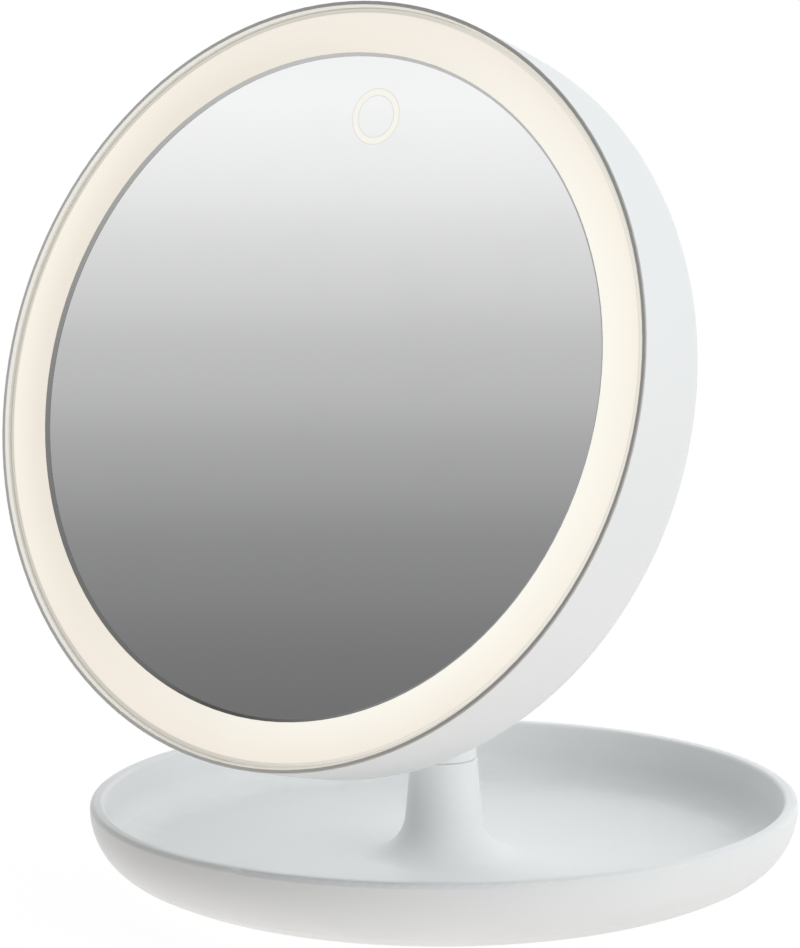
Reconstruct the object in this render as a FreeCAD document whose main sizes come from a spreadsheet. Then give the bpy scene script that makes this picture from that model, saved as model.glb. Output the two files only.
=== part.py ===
import FreeCAD, Part
import math
import os
import Sketcher

# Lighted makeup mirror: a round lit mirror on a stem that rises from a dished tray.
# Millimetres, +Z up, the mirror faces -Y, the origin is on the table under the stem.
# Pieces of the head are drawn in the head's own frame: Y is the depth behind its front edge.

doc = FreeCAD.newDocument("makeup_mirror")
sheet = doc.addObject("Spreadsheet::Sheet", "Sizes")

# Every driving size: its name, its value in millimetres or degrees, and what it is.
SIZES = [
    # stance
    ("pivot_rise", 116.6, "height of the tilt axle above the rim"),
    ("pivot_stand", 17.72, "distance of the tilt axle behind the yoke's flange"),
    ("rest_tilt", 19.6, "how far the head leans back at rest, in degrees"),
    # tray
    ("bowl_radius", 108.0, "widest radius of the tray"),
    ("rim_round", 1.6, "rounding of the rim's outer edge"),
    ("rim_inner_round", 1.2, "rounding of the rim's inner edge"),
    ("rim_width", 4.2, "width of the rim seen from above"),
    ("bowl_corner_radius", 20.9, "radius of the outer wall's curve"),
    ("bowl_corner_angle", 63.0, "arc of the outer wall's curve, in degrees"),
    ("tray_depth", 16.8, "depth of the tray's floor below the rim"),
    ("dish_wall", 7.2, "straight part of the inner wall below the rim"),
    ("dish_corner_radius", 7.0, "radius of the inner wall's curve"),
    ("dish_corner_angle", 55.0, "arc of the inner wall's curve, in degrees"),
    ("floor_thickness", 2.5, "thickness of the tray's floor"),
    ("pillar_rise", 12.65, "height of the pillar's top above the rim"),
    ("pillar_top_radius", 10.25, "radius of the pillar at its top"),
    ("pillar_taper_angle", 5.0, "lean of the pillar's side, in degrees"),
    ("pillar_edge", 0.2, "bevel of the pillar's top edge"),
    ("flare_round", 13.0, "radius of the flare at the pillar's foot"),
    ("bush_tube_wall", 2.4, "wall round the bush below the flare"),
    ("core_rise", 3.0, "height of the hollow under the flare above the floor"),
    ("core_top_width", 2.0, "width of that hollow at its top"),
    ("core_mouth_width", 9.5, "width of that hollow at its mouth"),
    ("rib_width", 2.0, "width of the rib that centres the cover"),
    ("rib_height", 1.6, "height of that rib"),
    ("rib_inset", 4.8, "distance of the rib inside the cover's edge"),
    # base cover, ballast, foot and screws
    ("foot_stand", 1.0, "gap between the cover and the table"),
    ("cover_thickness", 2.0, "wall of the base cover"),
    ("pad_width", 12.0, "width of the foot pad"),
    ("pad_offset", 2.73, "foot pad inside the middle of the room between screws and flat"),
    ("pad_recess", 0.6, "how deep the pad is let into the cover"),
    ("pad_edge", 0.4, "bevel of the pad's lower edges"),
    ("pad_fit", 0.1, "gap round the pad in its recess"),
    ("ballast_inner_radius", 20.0, "hole in the ballast disc"),
    ("ballast_margin", 5.3, "ballast disc inside the flat of the cover"),
    ("ballast_room", 0.3, "gap between the ballast disc and the tray"),
    ("ballast_bevel", 0.6, "bevel of the ballast disc's rim"),
    ("base_screw_offset", 4.48, "base screws inside the middle of the ballast's ring"),
    ("base_screw_count", 4, "number of base screws"),
    ("base_boss_radius", 3.6, "radius of the tray's screw bosses"),
    ("cover_boss_radius", 4.6, "radius of the cover's screw seats"),
    ("cover_boss_rise", 1.2, "height of those seats inside the cover"),
    ("boss_gap", 0.1, "gap between tray boss and cover seat"),
    ("boss_room", 0.6, "gap between the ballast disc and the bosses"),
    ("screw_radius", 1.4, "shank of every small screw"),
    ("screw_fit", 0.06, "gap round a screw's shank"),
    ("screw_head_radius", 2.9, "head of a base or board screw"),
    ("screw_head_height", 1.4, "height of that head"),
    ("screw_head_room", 0.3, "gap round a sunk screw head"),
    ("base_screw_grip", 5.6, "length of a base screw's shank"),
    ("drive_width", 0.8, "width of a slot in a screw's cross drive"),
    ("drive_span", 3.4, "length of that slot"),
    ("drive_depth", 0.8, "depth of that slot"),
    # swivel
    ("spigot_radius", 6.5, "radius of the stem's spindle in the bush"),
    ("run_fit", 0.05, "running gap of a bearing, on the radius"),
    ("bush_radius", 8.2, "outside radius of the swivel bush"),
    ("bush_fit", 0.03, "gap between the bush and the pillar's bore"),
    ("bush_length", 30.0, "length of the bush inside the pillar"),
    ("bush_flange_radius", 9.75, "radius of the bush's collar"),
    ("bush_flange", 0.3, "thickness of the bush's collar"),
    ("face_fit", 0.05, "gap between flat faces that slide"),
    ("thread_radius", 4.0, "radius of the spindle's threaded end"),
    ("thread_fit", 0.02, "gap between a thread and its nut"),
    ("washer_thickness", 0.9, "thickness of the swivel washer"),
    ("washer_radius", 9.5, "radius of the swivel washer"),
    ("washer_room", 0.35, "gap between that washer and the thread"),
    ("nut_flats", 10.0, "width across the flats of the swivel nut"),
    ("nut_height", 2.8, "height of the swivel nut"),
    ("thread_past_nut", 0.1, "end of the thread below the nut"),
    ("nut_room", 2.35, "gap between the thread's end and the cover"),
    ("spindle_shoulder_gap", 0.4, "end of the spindle's full radius above the washer"),
    # stem
    ("stem_radius", 10.0, "radius of the stem tube at its foot"),
    ("stem_top_radius", 9.6, "radius of the stem tube at its top"),
    ("stem_bore", 7.6, "inside radius of the stem tube"),
    ("stem_edge", 0.35, "bevel at the foot of the stem tube"),
    ("plug_fit", 0.05, "gap between a plug and the stem tube"),
    ("spigot_reach", 38.0, "length of the spindle inside the stem tube"),
    ("collar_drop", 14.5, "distance from the tilt axle down to the knuckle's collar"),
    ("collar_height", 2.2, "height of the knuckle's collar"),
    ("collar_bevel", 0.6, "bevel of the collar's upper edge"),
    ("knuckle_reach", 24.0, "length of the knuckle's plug inside the stem tube"),
    ("tongue_width", 14.0, "width of the knuckle's flat tongue"),
    ("tongue_radius", 9.0, "radius of the tongue's round end"),
    # tilt hinge
    ("axle_radius", 4.0, "radius of the tilt axle"),
    ("axle_fit", 0.03, "gap between the axle and the ears"),
    ("friction_thickness", 0.8, "thickness of a friction washer"),
    ("friction_radius", 8.6, "radius of a friction washer"),
    ("ear_thickness", 8.0, "thickness of each ear"),
    ("ear_radius", 12.0, "radius of the ears' round end"),
    ("ear_root_radius", 12.0, "radius of the curve that widens the ears towards the flange"),
    ("ear_root_length", 8.0, "length of that wider root"),
    ("ear_round", 1.6, "rounding of the ears' outer edges"),
    ("ear_clamp", 2.4, "ear material between the slot and the axle's head"),
    ("axle_head_radius", 6.5, "radius of the axle's head"),
    ("axle_head_height", 3.6, "height of the axle's head"),
    ("axle_nut_flats", 12.0, "width across the flats of the axle's nut"),
    ("axle_nut_height", 3.6, "height of the axle's nut"),
    ("axle_past_nut", 0.3, "end of the axle's thread outside the nut"),
    ("cap_radius", 8.1, "radius of the axle's end caps"),
    ("cap_fit", 0.08, "gap round an end cap"),
    ("cap_height", 1.2, "thickness of an end cap"),
    ("cap_bulge", 0.5, "how far an end cap bulges out of the ear"),
    ("flange_radius", 32.0, "radius of the yoke's flange"),
    ("flange_thickness", 3.2, "thickness of the yoke's flange"),
    ("flange_round", 1.2, "rounding of the flange's edge"),
    ("flange_fit", 0.15, "gap round the flange in its seat"),
    ("seat_depth", 0.8, "depth of the flange's seat in the housing"),
    ("yoke_screw_inset", 7.0, "yoke screws inside the flange's edge"),
    ("yoke_screw_count", 4, "number of yoke screws"),
    ("yoke_screw_bite", 2.4, "depth of a yoke screw in the flange"),
    # housing
    ("head_radius", 117.0, "radius of the head's front edge"),
    ("housing_start", 0.7, "depth of the housing's front edge"),
    ("housing_wall", 2.4, "wall of the housing"),
    ("corner_inset", 10.52, "corner centre inside the head's radius"),
    ("corner_depth", 29.52, "depth of the corner's centre"),
    ("corner_radius", 8.0, "radius of the housing's rear corner"),
    ("corner_start_angle", 6.5, "where the rear corner begins, in degrees"),
    ("corner_end_angle", 80.0, "where the rear corner ends, in degrees"),
    ("seat_rim", 3.0, "thicker land round the flange's seat, inside"),
    ("ledge_depth", 6.3, "depth of the ledge that carries the inner frame"),
    ("ledge_step", 1.0, "wall of the housing ahead of the ledge"),
    ("post_inset", 25.0, "carrier screws inside the head's edge"),
    ("post_count", 6, "number of carrier screws"),
    ("post_radius", 4.2, "radius of the housing's screw posts"),
    ("post_bore_depth", 14.0, "depth of the hole in those posts"),
    ("socket_x", 34.0, "charging inlet, sideways from the middle"),
    ("socket_drop", 10.0, "charging inlet below the middle of the main board"),
    ("socket_recess", 0.49, "mouth of the charging socket below the housing's skin"),
    ("socket_width", 9.0, "width of the charging socket"),
    ("socket_height", 3.3, "height of the charging socket"),
    ("socket_corner", 1.6, "corner rounding of the charging socket"),
    ("socket_wall", 0.35, "shell of the charging socket"),
    ("socket_length", 11.0, "length of the charging socket"),
    ("socket_back", 1.6, "closed end of the charging socket"),
    ("socket_tongue_width", 6.7, "width of the contact tongue"),
    ("socket_tongue_height", 0.7, "height of the contact tongue"),
    ("socket_tongue_length", 6.6, "length of the contact tongue"),
    ("socket_room", 0.3, "gap round the socket in the housing"),
    # front edge
    ("trim_land", 1.05, "width of the trim ring's front face"),
    ("trim_bevel", 0.75, "width of the trim ring's inner bevel"),
    ("trim_bevel_depth", 0.9, "depth of that bevel"),
    ("trim_edge", 0.15, "bevel of the trim ring's outer edge"),
    ("trim_reach", 6.0, "length of the trim ring's sleeve"),
    ("trim_fit", 0.05, "gap between the sleeve and the housing"),
    ("groove_width", 1.2, "groove between the trim ring and the lit face"),
    ("light_width", 12.51, "width of the lit face"),
    ("light_inner_depth", 0.93, "depth of the lit face at its inner edge"),
    ("light_outer_depth", 1.6, "depth of the lit face at its outer edge"),
    ("light_crown", 48.0, "radius of the lit face's gentle crown"),
    ("flange_step", 0.6, "step from the lit face to the diffuser's flange"),
    ("diffuser_fit", 0.1, "gap between the diffuser and the trim ring"),
    ("diffuser_seat", 4.2, "depth of the diffuser's seat"),
    ("diffuser_wall", 2.0, "thickness of the diffuser"),
    ("diffuser_foot", 1.3, "width of the diffuser's feet"),
    # glass
    ("gasket_width", 0.74, "gap between the lit face and the glass, which the gasket fills"),
    ("glass_depth", 2.07, "depth of the glass's face"),
    ("glass_thickness", 3.0, "thickness of the glass"),
    ("glass_edge", 0.25, "ground edge of the glass"),
    ("gasket_fit", 0.05, "gap round the glass and round the gasket"),
    ("gasket_lip", 1.8, "lip of the gasket behind the glass"),
    ("tape_thickness", 0.53, "thickness of the tape behind the glass"),
    ("tape_inner_radius", 30.0, "inner radius of the tape"),
    ("touch_inset", 18.25, "middle of the touch ring inside the edge of the glass"),
    ("touch_outer_radius", 8.65, "outer radius of the touch ring"),
    ("touch_inner_radius", 6.3, "inner radius of the touch ring"),
    ("touch_sink", 0.6, "thickness of the touch ring's window"),
    ("touch_fit", 0.03, "gap round that window"),
    ("guide_margin", 0.5, "how far the light guide is wider than the ring"),
    ("guide_room", 0.4, "gap round the light guide"),
    # inner frame and electronics
    ("carrier_plate", 2.0, "thickness of the carrier's plate"),
    ("channel_wall", 1.45, "wall of the light channel"),
    ("channel_depth", 15.0, "depth of the light channel's floor"),
    ("channel_floor", 1.6, "thickness of the light channel's floor"),
    ("channel_room", 0.3, "gap between the channel and the housing"),
    ("channel_draft_angle", 9.37, "inward lean of the channel's outer wall, in degrees"),
    ("carrier_fit", 0.1, "gap round the carrier's edge"),
    ("led_board_thickness", 1.6, "thickness of the light ring's board"),
    ("led_board_room", 0.4, "gap beside the light ring's board"),
    ("led_count", 48, "number of light sources"),
    ("led_width", 3.0, "width of a light source"),
    ("led_length", 2.8, "length of a light source"),
    ("led_height", 0.8, "height of a light source"),
    ("flat_head_radius", 2.9, "head of a carrier screw"),
    ("flat_head_height", 1.5, "height of that head"),
    ("carrier_screw_grip", 12.0, "length of a carrier screw"),
    ("touch_board_width", 30.0, "width of the touch board"),
    ("touch_board_height", 26.0, "height of the touch board"),
    ("board_thickness", 1.2, "thickness of the touch board"),
    ("battery_side_room", 41.8, "gap between the battery pack and the screw posts beside it"),
    ("battery_height", 56.0, "height of the battery pack"),
    ("battery_thickness", 10.0, "thickness of the battery pack"),
    ("battery_round", 3.0, "corner rounding of the battery pack"),
    ("battery_gap", 19.5, "gap between the battery pack and the touch board"),
    ("battery_tape_margin", 6.0, "battery pack beyond its tape"),
    ("battery_tape", 1.0, "thickness of the battery's tape"),
    ("main_board_width", 72.0, "width of the main board"),
    ("main_board_height", 40.0, "height of the main board"),
    ("main_board_thickness", 1.6, "thickness of the main board"),
    ("main_board_x", 20.0, "main board, sideways from the middle"),
    ("board_rim_room", 22.0, "lower edge of the main board inside the carrier screws' circle"),
    ("board_post_inset", 4.5, "posts inside the main board's edge"),
    ("board_post_radius", 2.9, "radius of the main board's posts"),
    ("board_post_bore", 5.0, "depth of the hole in those posts"),
    ("board_screw_grip", 5.5, "length of a board screw's shank"),
    ("chip_size", 7.0, "side of the control chip"),
    ("chip_height", 1.2, "height of the control chip"),
    ("coil_radius", 4.0, "radius of the choke"),
    ("coil_height", 4.5, "height of the choke"),
    ("plug_width", 10.0, "width of the cable header"),
    ("plug_depth", 4.5, "depth of the cable header"),
    ("plug_height", 5.0, "height of the cable header"),
    ("plug_pitch", 16.0, "distance between the two cable headers"),
]


class Size:
    """A length or an angle that carries its sheet formula along with its value."""

    def __init__(self, value, text):
        self.value = float(value)
        self.text = text

    def __add__(self, other):
        other = as_size(other)
        return Size(self.value + other.value, f"({self.text} + {other.text})")

    def __radd__(self, other):
        return as_size(other) + self

    def __sub__(self, other):
        other = as_size(other)
        return Size(self.value - other.value, f"({self.text} - {other.text})")

    def __rsub__(self, other):
        return as_size(other) - self

    def __mul__(self, other):
        other = as_size(other)
        return Size(self.value * other.value, f"({self.text} * {other.text})")

    def __rmul__(self, other):
        return as_size(other) * self

    def __truediv__(self, other):
        other = as_size(other)
        return Size(self.value / other.value, f"({self.text} / {other.text})")

    def __rtruediv__(self, other):
        return as_size(other) / self

    def __neg__(self):
        return Size(-self.value, f"(0 - {self.text})")


def as_size(number):
    if isinstance(number, Size):
        return number
    if number < 0:
        return Size(number, f"(0 - {-number})")
    return Size(number, str(number))


def cosine(angle):
    return Size(math.cos(math.radians(angle.value)), f"cos({angle.text})")


def sine(angle):
    return Size(math.sin(math.radians(angle.value)), f"sin({angle.text})")


def root(size):
    return Size(math.sqrt(size.value), f"sqrt({size.text})")


class Named:
    """Gives each sheet size as an attribute."""


k = Named()
for row, (alias, number, meaning) in enumerate(SIZES, start=1):
    sheet.set(f"A{row}", alias)
    sheet.set(f"B{row}", str(number))
    sheet.setAlias(f"B{row}", alias)
    sheet.set(f"C{row}", meaning)
    setattr(k, alias, Size(number, f"Sizes.{alias}"))
doc.recompute()

pieces = []


def new_body(label):
    body = doc.addObject("PartDesign::Body", label)
    body.Label = label
    body.AllowCompound = True
    pieces.append(body)
    return body


def origin_feature(body, role):
    for feature in body.Origin.OriginFeatures:
        if feature.Role == role:
            return feature


def new_sketch(body, role, offset=None):
    sketch = body.newObject("Sketcher::SketchObject", f"{body.Label}_sketch")
    sketch.AttachmentSupport = [(origin_feature(body, role), "")]
    sketch.MapMode = "FlatFace"
    if offset is not None:
        sketch.AttachmentOffset = FreeCAD.Placement(FreeCAD.Vector(0, 0, offset.value), FreeCAD.Rotation())
        sketch.setExpression("AttachmentOffset.Base.z", offset.text)
    return sketch


def pin_point(sketch, geometry, position, x, y):
    """Fixes a point of the sketch at sizes x and y."""
    x = as_size(x)
    y = as_size(y)
    if x.text == "0":
        sketch.addConstraint(Sketcher.Constraint("PointOnObject", geometry, position, -2))
    else:
        made = sketch.addConstraint(Sketcher.Constraint("DistanceX", -1, 1, geometry, position, x.value))
        sketch.setExpression(f"Constraints[{made}]", x.text)
    if y.text == "0":
        sketch.addConstraint(Sketcher.Constraint("PointOnObject", geometry, position, -1))
    else:
        made = sketch.addConstraint(Sketcher.Constraint("DistanceY", -1, 1, geometry, position, y.value))
        sketch.setExpression(f"Constraints[{made}]", y.text)


def draw_loop(sketch, corners):
    """Draws a closed outline through the corners (x, y) or (x, y, radius).

    A radius bends the side that leads to its corner: positive turns left, negative turns right.
    """
    points = []
    for corner in corners:
        points.append(FreeCAD.Vector(as_size(corner[0]).value, as_size(corner[1]).value, 0))
    sides = []
    for number, corner in enumerate(corners):
        start = points[number - 1]
        end = points[number]
        if len(corner) == 2:
            made = sketch.addGeometry(Part.LineSegment(start, end), False)
            sides.append((made, 1, 2))
            continue
        radius = as_size(corner[2])
        bend = abs(radius.value)
        chord = end - start
        middle = (start + end) * 0.5
        left = FreeCAD.Vector(-chord.y, chord.x, 0) * (1.0 / chord.Length)
        reach = math.sqrt(max(bend * bend - chord.Length * chord.Length / 4.0, 0.0))
        turn = 1.0 if radius.value > 0 else -1.0
        centre = middle + left * (reach * turn)
        circle = Part.Circle(centre, FreeCAD.Vector(0, 0, 1), bend)
        angle_start = math.atan2(start.y - centre.y, start.x - centre.x)
        angle_end = math.atan2(end.y - centre.y, end.x - centre.x)
        if turn > 0:
            made = sketch.addGeometry(Part.ArcOfCircle(circle, angle_start, angle_end), False)
            sides.append((made, 1, 2))
        else:
            made = sketch.addGeometry(Part.ArcOfCircle(circle, angle_end, angle_start), False)
            sides.append((made, 2, 1))
    for number, corner in enumerate(corners):
        this = sides[number]
        after = sides[(number + 1) % len(sides)]
        sketch.addConstraint(Sketcher.Constraint("Coincident", this[0], this[2], after[0], after[1]))
        pin_point(sketch, this[0], this[2], corner[0], corner[1])
        if len(corner) == 3:
            radius = as_size(corner[2])
            made = sketch.addConstraint(Sketcher.Constraint("Radius", this[0], abs(radius.value)))
            text = radius.text if radius.value > 0 else f"(0 - {radius.text})"
            sketch.setExpression(f"Constraints[{made}]", text)


def draw_circle(sketch, x, y, radius):
    centre = FreeCAD.Vector(as_size(x).value, as_size(y).value, 0)
    made = sketch.addGeometry(Part.Circle(centre, FreeCAD.Vector(0, 0, 1), radius.value), False)
    pin_point(sketch, made, 3, x, y)
    limit = sketch.addConstraint(Sketcher.Constraint("Radius", made, radius.value))
    sketch.setExpression(f"Constraints[{limit}]", radius.text)


def draw_axis(sketch, first, second):
    """Draws a construction line for a turned shape whose axis is not the sketch's own."""
    ends = []
    for point in (first, second):
        ends.append(FreeCAD.Vector(as_size(point[0]).value, as_size(point[1]).value, 0))
    made = sketch.addGeometry(Part.LineSegment(ends[0], ends[1]), True)
    pin_point(sketch, made, 1, first[0], first[1])
    pin_point(sketch, made, 2, second[0], second[1])


def box_corners(x, y, width, height):
    return [
        (x - width / 2, y - height / 2),
        (x + width / 2, y - height / 2),
        (x + width / 2, y + height / 2),
        (x - width / 2, y + height / 2),
    ]


def round_box_corners(x, y, width, height, radius):
    left = x - width / 2
    right = x + width / 2
    low = y - height / 2
    high = y + height / 2
    return [
        (right - radius, low),
        (right, low + radius, radius),
        (right, high - radius),
        (right - radius, high, radius),
        (left + radius, high),
        (left, high - radius, radius),
        (left, low + radius),
        (left + radius, low, radius),
    ]


def turn_shape(body, kind, sketch, axis="V_Axis"):
    feature = body.newObject(f"PartDesign::{kind}", f"{body.Label}_turned")
    feature.Profile = sketch
    feature.ReferenceAxis = (sketch, [axis])
    feature.Angle = 360
    sketch.Visibility = False
    doc.recompute()
    return feature


def extrude(body, kind, sketch, length=None, backward=False, both_ways=False, mode=None):
    feature = body.newObject(f"PartDesign::{kind}", f"{body.Label}_{kind.lower()}")
    feature.Profile = sketch
    if mode is not None:
        feature.Type = mode
    if length is not None:
        feature.Length = length.value
        feature.setExpression("Length", length.text)
    feature.Reversed = backward
    if both_ways:
        feature.SideType = "Symmetric"
    sketch.Visibility = False
    doc.recompute()
    return feature


def repeat_around(body, features, role, count):
    pattern = body.newObject("PartDesign::PolarPattern", f"{body.Label}_around")
    pattern.Originals = features
    pattern.Axis = (origin_feature(body, role), [""])
    pattern.Angle = 360
    pattern.Occurrences = int(count.value)
    pattern.setExpression("Occurrences", count.text)
    body.Tip = pattern
    doc.recompute()
    return pattern


def into_head(body):
    """Leans a piece drawn in the head's frame back and carries it to the tilt axle."""
    angle = k.rest_tilt
    back = -(pivot_depth * cosine(angle))
    up = pivot_z + pivot_depth * sine(angle)
    body.Placement = FreeCAD.Placement(
        FreeCAD.Vector(0, back.value, up.value),
        FreeCAD.Rotation(FreeCAD.Vector(-1, 0, 0), angle.value),
    )
    body.setExpression("Placement.Base.y", back.text)
    body.setExpression("Placement.Base.z", up.text)
    body.setExpression("Placement.Rotation.Angle", angle.text)
    doc.recompute()


def cross_drive(body, x, y, role, offset, backward):
    """Cuts a cross slot into a screw head whose face lies at the offset."""
    half = k.drive_span / 2
    slot = k.drive_width / 2
    sketch = new_sketch(body, role, offset)
    draw_loop(sketch, [
        (x - half, y - slot),
        (x - slot, y - slot),
        (x - slot, y - half),
        (x + slot, y - half),
        (x + slot, y - slot),
        (x + half, y - slot),
        (x + half, y + slot),
        (x + slot, y + slot),
        (x + slot, y + half),
        (x - slot, y + half),
        (x - slot, y + slot),
        (x - half, y + slot),
    ])
    return extrude(body, "Pocket", sketch, k.drive_depth, backward=backward)


# Heights of the base, from the table up. The swivel's nut decides the room between cover and tray.
cover_floor_z = k.foot_stand + k.cover_thickness
base_room = k.washer_thickness + k.face_fit + k.nut_height + k.thread_past_nut + k.nut_room
under_z = cover_floor_z + base_room
floor_z = under_z + k.floor_thickness
rim_z = floor_z + k.tray_depth
pillar_top_z = rim_z + k.pillar_rise
pivot_z = rim_z + k.pivot_rise

# The outer wall of the base: a tight arc below the rim that runs into a wide arc down to the foot.
wall_centre_r = k.bowl_radius - k.bowl_corner_radius
wall_centre_z = rim_z - k.rim_round
wall_end_r = wall_centre_r + k.bowl_corner_radius * cosine(k.bowl_corner_angle)
wall_drop = k.bowl_corner_radius * sine(k.bowl_corner_angle)
wall_end_z = wall_centre_z - wall_drop
wall_fall = wall_centre_z - k.foot_stand
sweep_radius = (wall_fall - wall_drop) / (1 - sine(k.bowl_corner_angle))
sweep_centre_r = wall_centre_r + (k.bowl_corner_radius - sweep_radius) * cosine(k.bowl_corner_angle)
seam_fall = wall_centre_z - under_z
seam_r = wall_centre_r + root(k.bowl_corner_radius * k.bowl_corner_radius - seam_fall * seam_fall)
sweep_inner = sweep_radius - k.cover_thickness
sweep_rise = k.foot_stand + sweep_radius - under_z
seam_inner_r = sweep_centre_r + root(sweep_inner * sweep_inner - sweep_rise * sweep_rise)
ballast_r = sweep_centre_r - k.ballast_margin
base_screw_circle = (k.ballast_inner_radius + ballast_r) / 2 - k.base_screw_offset
screw_sink_r = k.screw_head_radius + k.screw_head_room
pad_middle_r = (base_screw_circle + screw_sink_r + sweep_centre_r) / 2 - k.pad_offset
pad_outer_r = pad_middle_r + k.pad_width / 2
pad_inner_r = pad_middle_r - k.pad_width / 2

# Tray with its rounded rim, its dished floor and the flared pillar, hollowed under the flare.
# Inside, a tight arc below the rim runs into a wide arc down to the floor, like the outer wall.
tray_inner_r = k.bowl_radius - k.rim_width
dish_top_z = rim_z - k.rim_inner_round - k.dish_wall
dish_end_z = dish_top_z - k.dish_corner_radius * sine(k.dish_corner_angle)
dish_end_r = tray_inner_r - k.dish_corner_radius * (1 - cosine(k.dish_corner_angle))
dish_radius = (dish_end_z - floor_z) / (1 - sine(k.dish_corner_angle))
dish_centre_r = dish_end_r - dish_radius * cosine(k.dish_corner_angle)
bore_r = k.bush_radius + k.bush_fit
flare_start_z = floor_z + k.flare_round * (1 - sine(k.pillar_taper_angle))
taper_ratio = sine(k.pillar_taper_angle) / cosine(k.pillar_taper_angle)
flare_start_r = k.pillar_top_radius + (pillar_top_z - flare_start_z) * taper_ratio
flare_end_r = flare_start_r + k.flare_round * cosine(k.pillar_taper_angle)
tube_r = bore_r + k.bush_tube_wall
rib_outer_r = seam_inner_r - k.rib_inset
tray_shell = new_body("tray_shell")
sketch = new_sketch(tray_shell, "XZ_Plane")
draw_loop(sketch, [
    (bore_r, pillar_top_z),
    (k.pillar_top_radius - k.pillar_edge, pillar_top_z),
    (k.pillar_top_radius, pillar_top_z - k.pillar_edge),
    (flare_start_r, flare_start_z),
    (flare_end_r, floor_z, k.flare_round),
    (dish_centre_r, floor_z),
    (dish_end_r, dish_end_z, dish_radius),
    (tray_inner_r, dish_top_z, k.dish_corner_radius),
    (tray_inner_r, rim_z - k.rim_inner_round),
    (tray_inner_r + k.rim_inner_round, rim_z, -k.rim_inner_round),
    (k.bowl_radius - k.rim_round, rim_z),
    (k.bowl_radius, rim_z - k.rim_round, -k.rim_round),
    (seam_r, under_z, -k.bowl_corner_radius),
    (rib_outer_r, under_z),
    (rib_outer_r, under_z - k.rib_height),
    (rib_outer_r - k.rib_width, under_z - k.rib_height),
    (rib_outer_r - k.rib_width, under_z),
    (tube_r + k.core_mouth_width, under_z),
    (tube_r + k.core_top_width, floor_z + k.core_rise),
    (tube_r, floor_z + k.core_rise),
    (tube_r, under_z),
    (bore_r, under_z),
])
turn_shape(tray_shell, "Revolution", sketch)
boss_foot_z = cover_floor_z + k.cover_boss_rise + k.boss_gap
sketch = new_sketch(tray_shell, "XY_Plane", boss_foot_z)
draw_circle(sketch, base_screw_circle, 0, k.base_boss_radius)
boss = extrude(tray_shell, "Pad", sketch, under_z - boss_foot_z)
repeat_around(tray_shell, [boss], "Z_Axis", k.base_screw_count)
screw_tip_z = k.foot_stand + k.cover_thickness - k.cover_boss_rise / 2 + k.base_screw_grip
sketch = new_sketch(tray_shell, "XY_Plane", boss_foot_z)
draw_circle(sketch, base_screw_circle, 0, k.screw_radius + k.screw_fit)
pilot = extrude(tray_shell, "Pocket", sketch, screw_tip_z - boss_foot_z + k.screw_fit, backward=True)
repeat_around(tray_shell, [pilot], "Z_Axis", k.base_screw_count)

# Base cover: a shallow dish that carries on the tray's outer curve, with a recess for the foot pad.
base_cover = new_body("base_cover")
sketch = new_sketch(base_cover, "XZ_Plane")
draw_loop(sketch, [
    (seam_r, under_z),
    (wall_end_r, wall_end_z, -k.bowl_corner_radius),
    (sweep_centre_r, k.foot_stand, -sweep_radius),
    (pad_outer_r + k.pad_fit, k.foot_stand),
    (pad_outer_r + k.pad_fit, k.foot_stand + k.pad_recess),
    (pad_inner_r - k.pad_fit, k.foot_stand + k.pad_recess),
    (pad_inner_r - k.pad_fit, k.foot_stand),
    (0, k.foot_stand),
    (0, cover_floor_z),
    (sweep_centre_r, cover_floor_z),
    (seam_inner_r, under_z, sweep_inner),
])
turn_shape(base_cover, "Revolution", sketch)
head_seat_z = k.foot_stand + k.cover_thickness - k.cover_boss_rise / 2
sketch = new_sketch(base_cover, "XY_Plane", cover_floor_z - k.cover_thickness / 2)
draw_circle(sketch, base_screw_circle, 0, k.cover_boss_radius)
seat = extrude(base_cover, "Pad", sketch, k.cover_boss_rise + k.cover_thickness / 2)
repeat_around(base_cover, [seat], "Z_Axis", k.base_screw_count)
sketch = new_sketch(base_cover, "XY_Plane", k.foot_stand)
draw_circle(sketch, base_screw_circle, 0, screw_sink_r)
sink = extrude(base_cover, "Pocket", sketch, head_seat_z - k.foot_stand, backward=True)
repeat_around(base_cover, [sink], "Z_Axis", k.base_screw_count)
sketch = new_sketch(base_cover, "XY_Plane", k.foot_stand)
draw_circle(sketch, base_screw_circle, 0, k.screw_radius + k.screw_fit)
hole = extrude(base_cover, "Pocket", sketch, backward=True, mode="ThroughAll")
repeat_around(base_cover, [hole], "Z_Axis", k.base_screw_count)

# Ballast: a steel disc that lies in the cover, with room for the swivel nut and the screw bosses.
ballast_top_z = under_z - k.ballast_room
ballast_disc = new_body("ballast_disc")
sketch = new_sketch(ballast_disc, "XZ_Plane")
draw_loop(sketch, [
    (k.ballast_inner_radius, cover_floor_z),
    (ballast_r - k.ballast_bevel, cover_floor_z),
    (ballast_r, cover_floor_z + k.ballast_bevel),
    (ballast_r, ballast_top_z - k.ballast_bevel),
    (ballast_r - k.ballast_bevel, ballast_top_z),
    (k.ballast_inner_radius, ballast_top_z),
])
turn_shape(ballast_disc, "Revolution", sketch)
sketch = new_sketch(ballast_disc, "XY_Plane", ballast_top_z)
draw_circle(sketch, base_screw_circle, 0, k.cover_boss_radius + k.boss_room)
hole = extrude(ballast_disc, "Pocket", sketch, mode="ThroughAll")
repeat_around(ballast_disc, [hole], "Z_Axis", k.base_screw_count)

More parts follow.
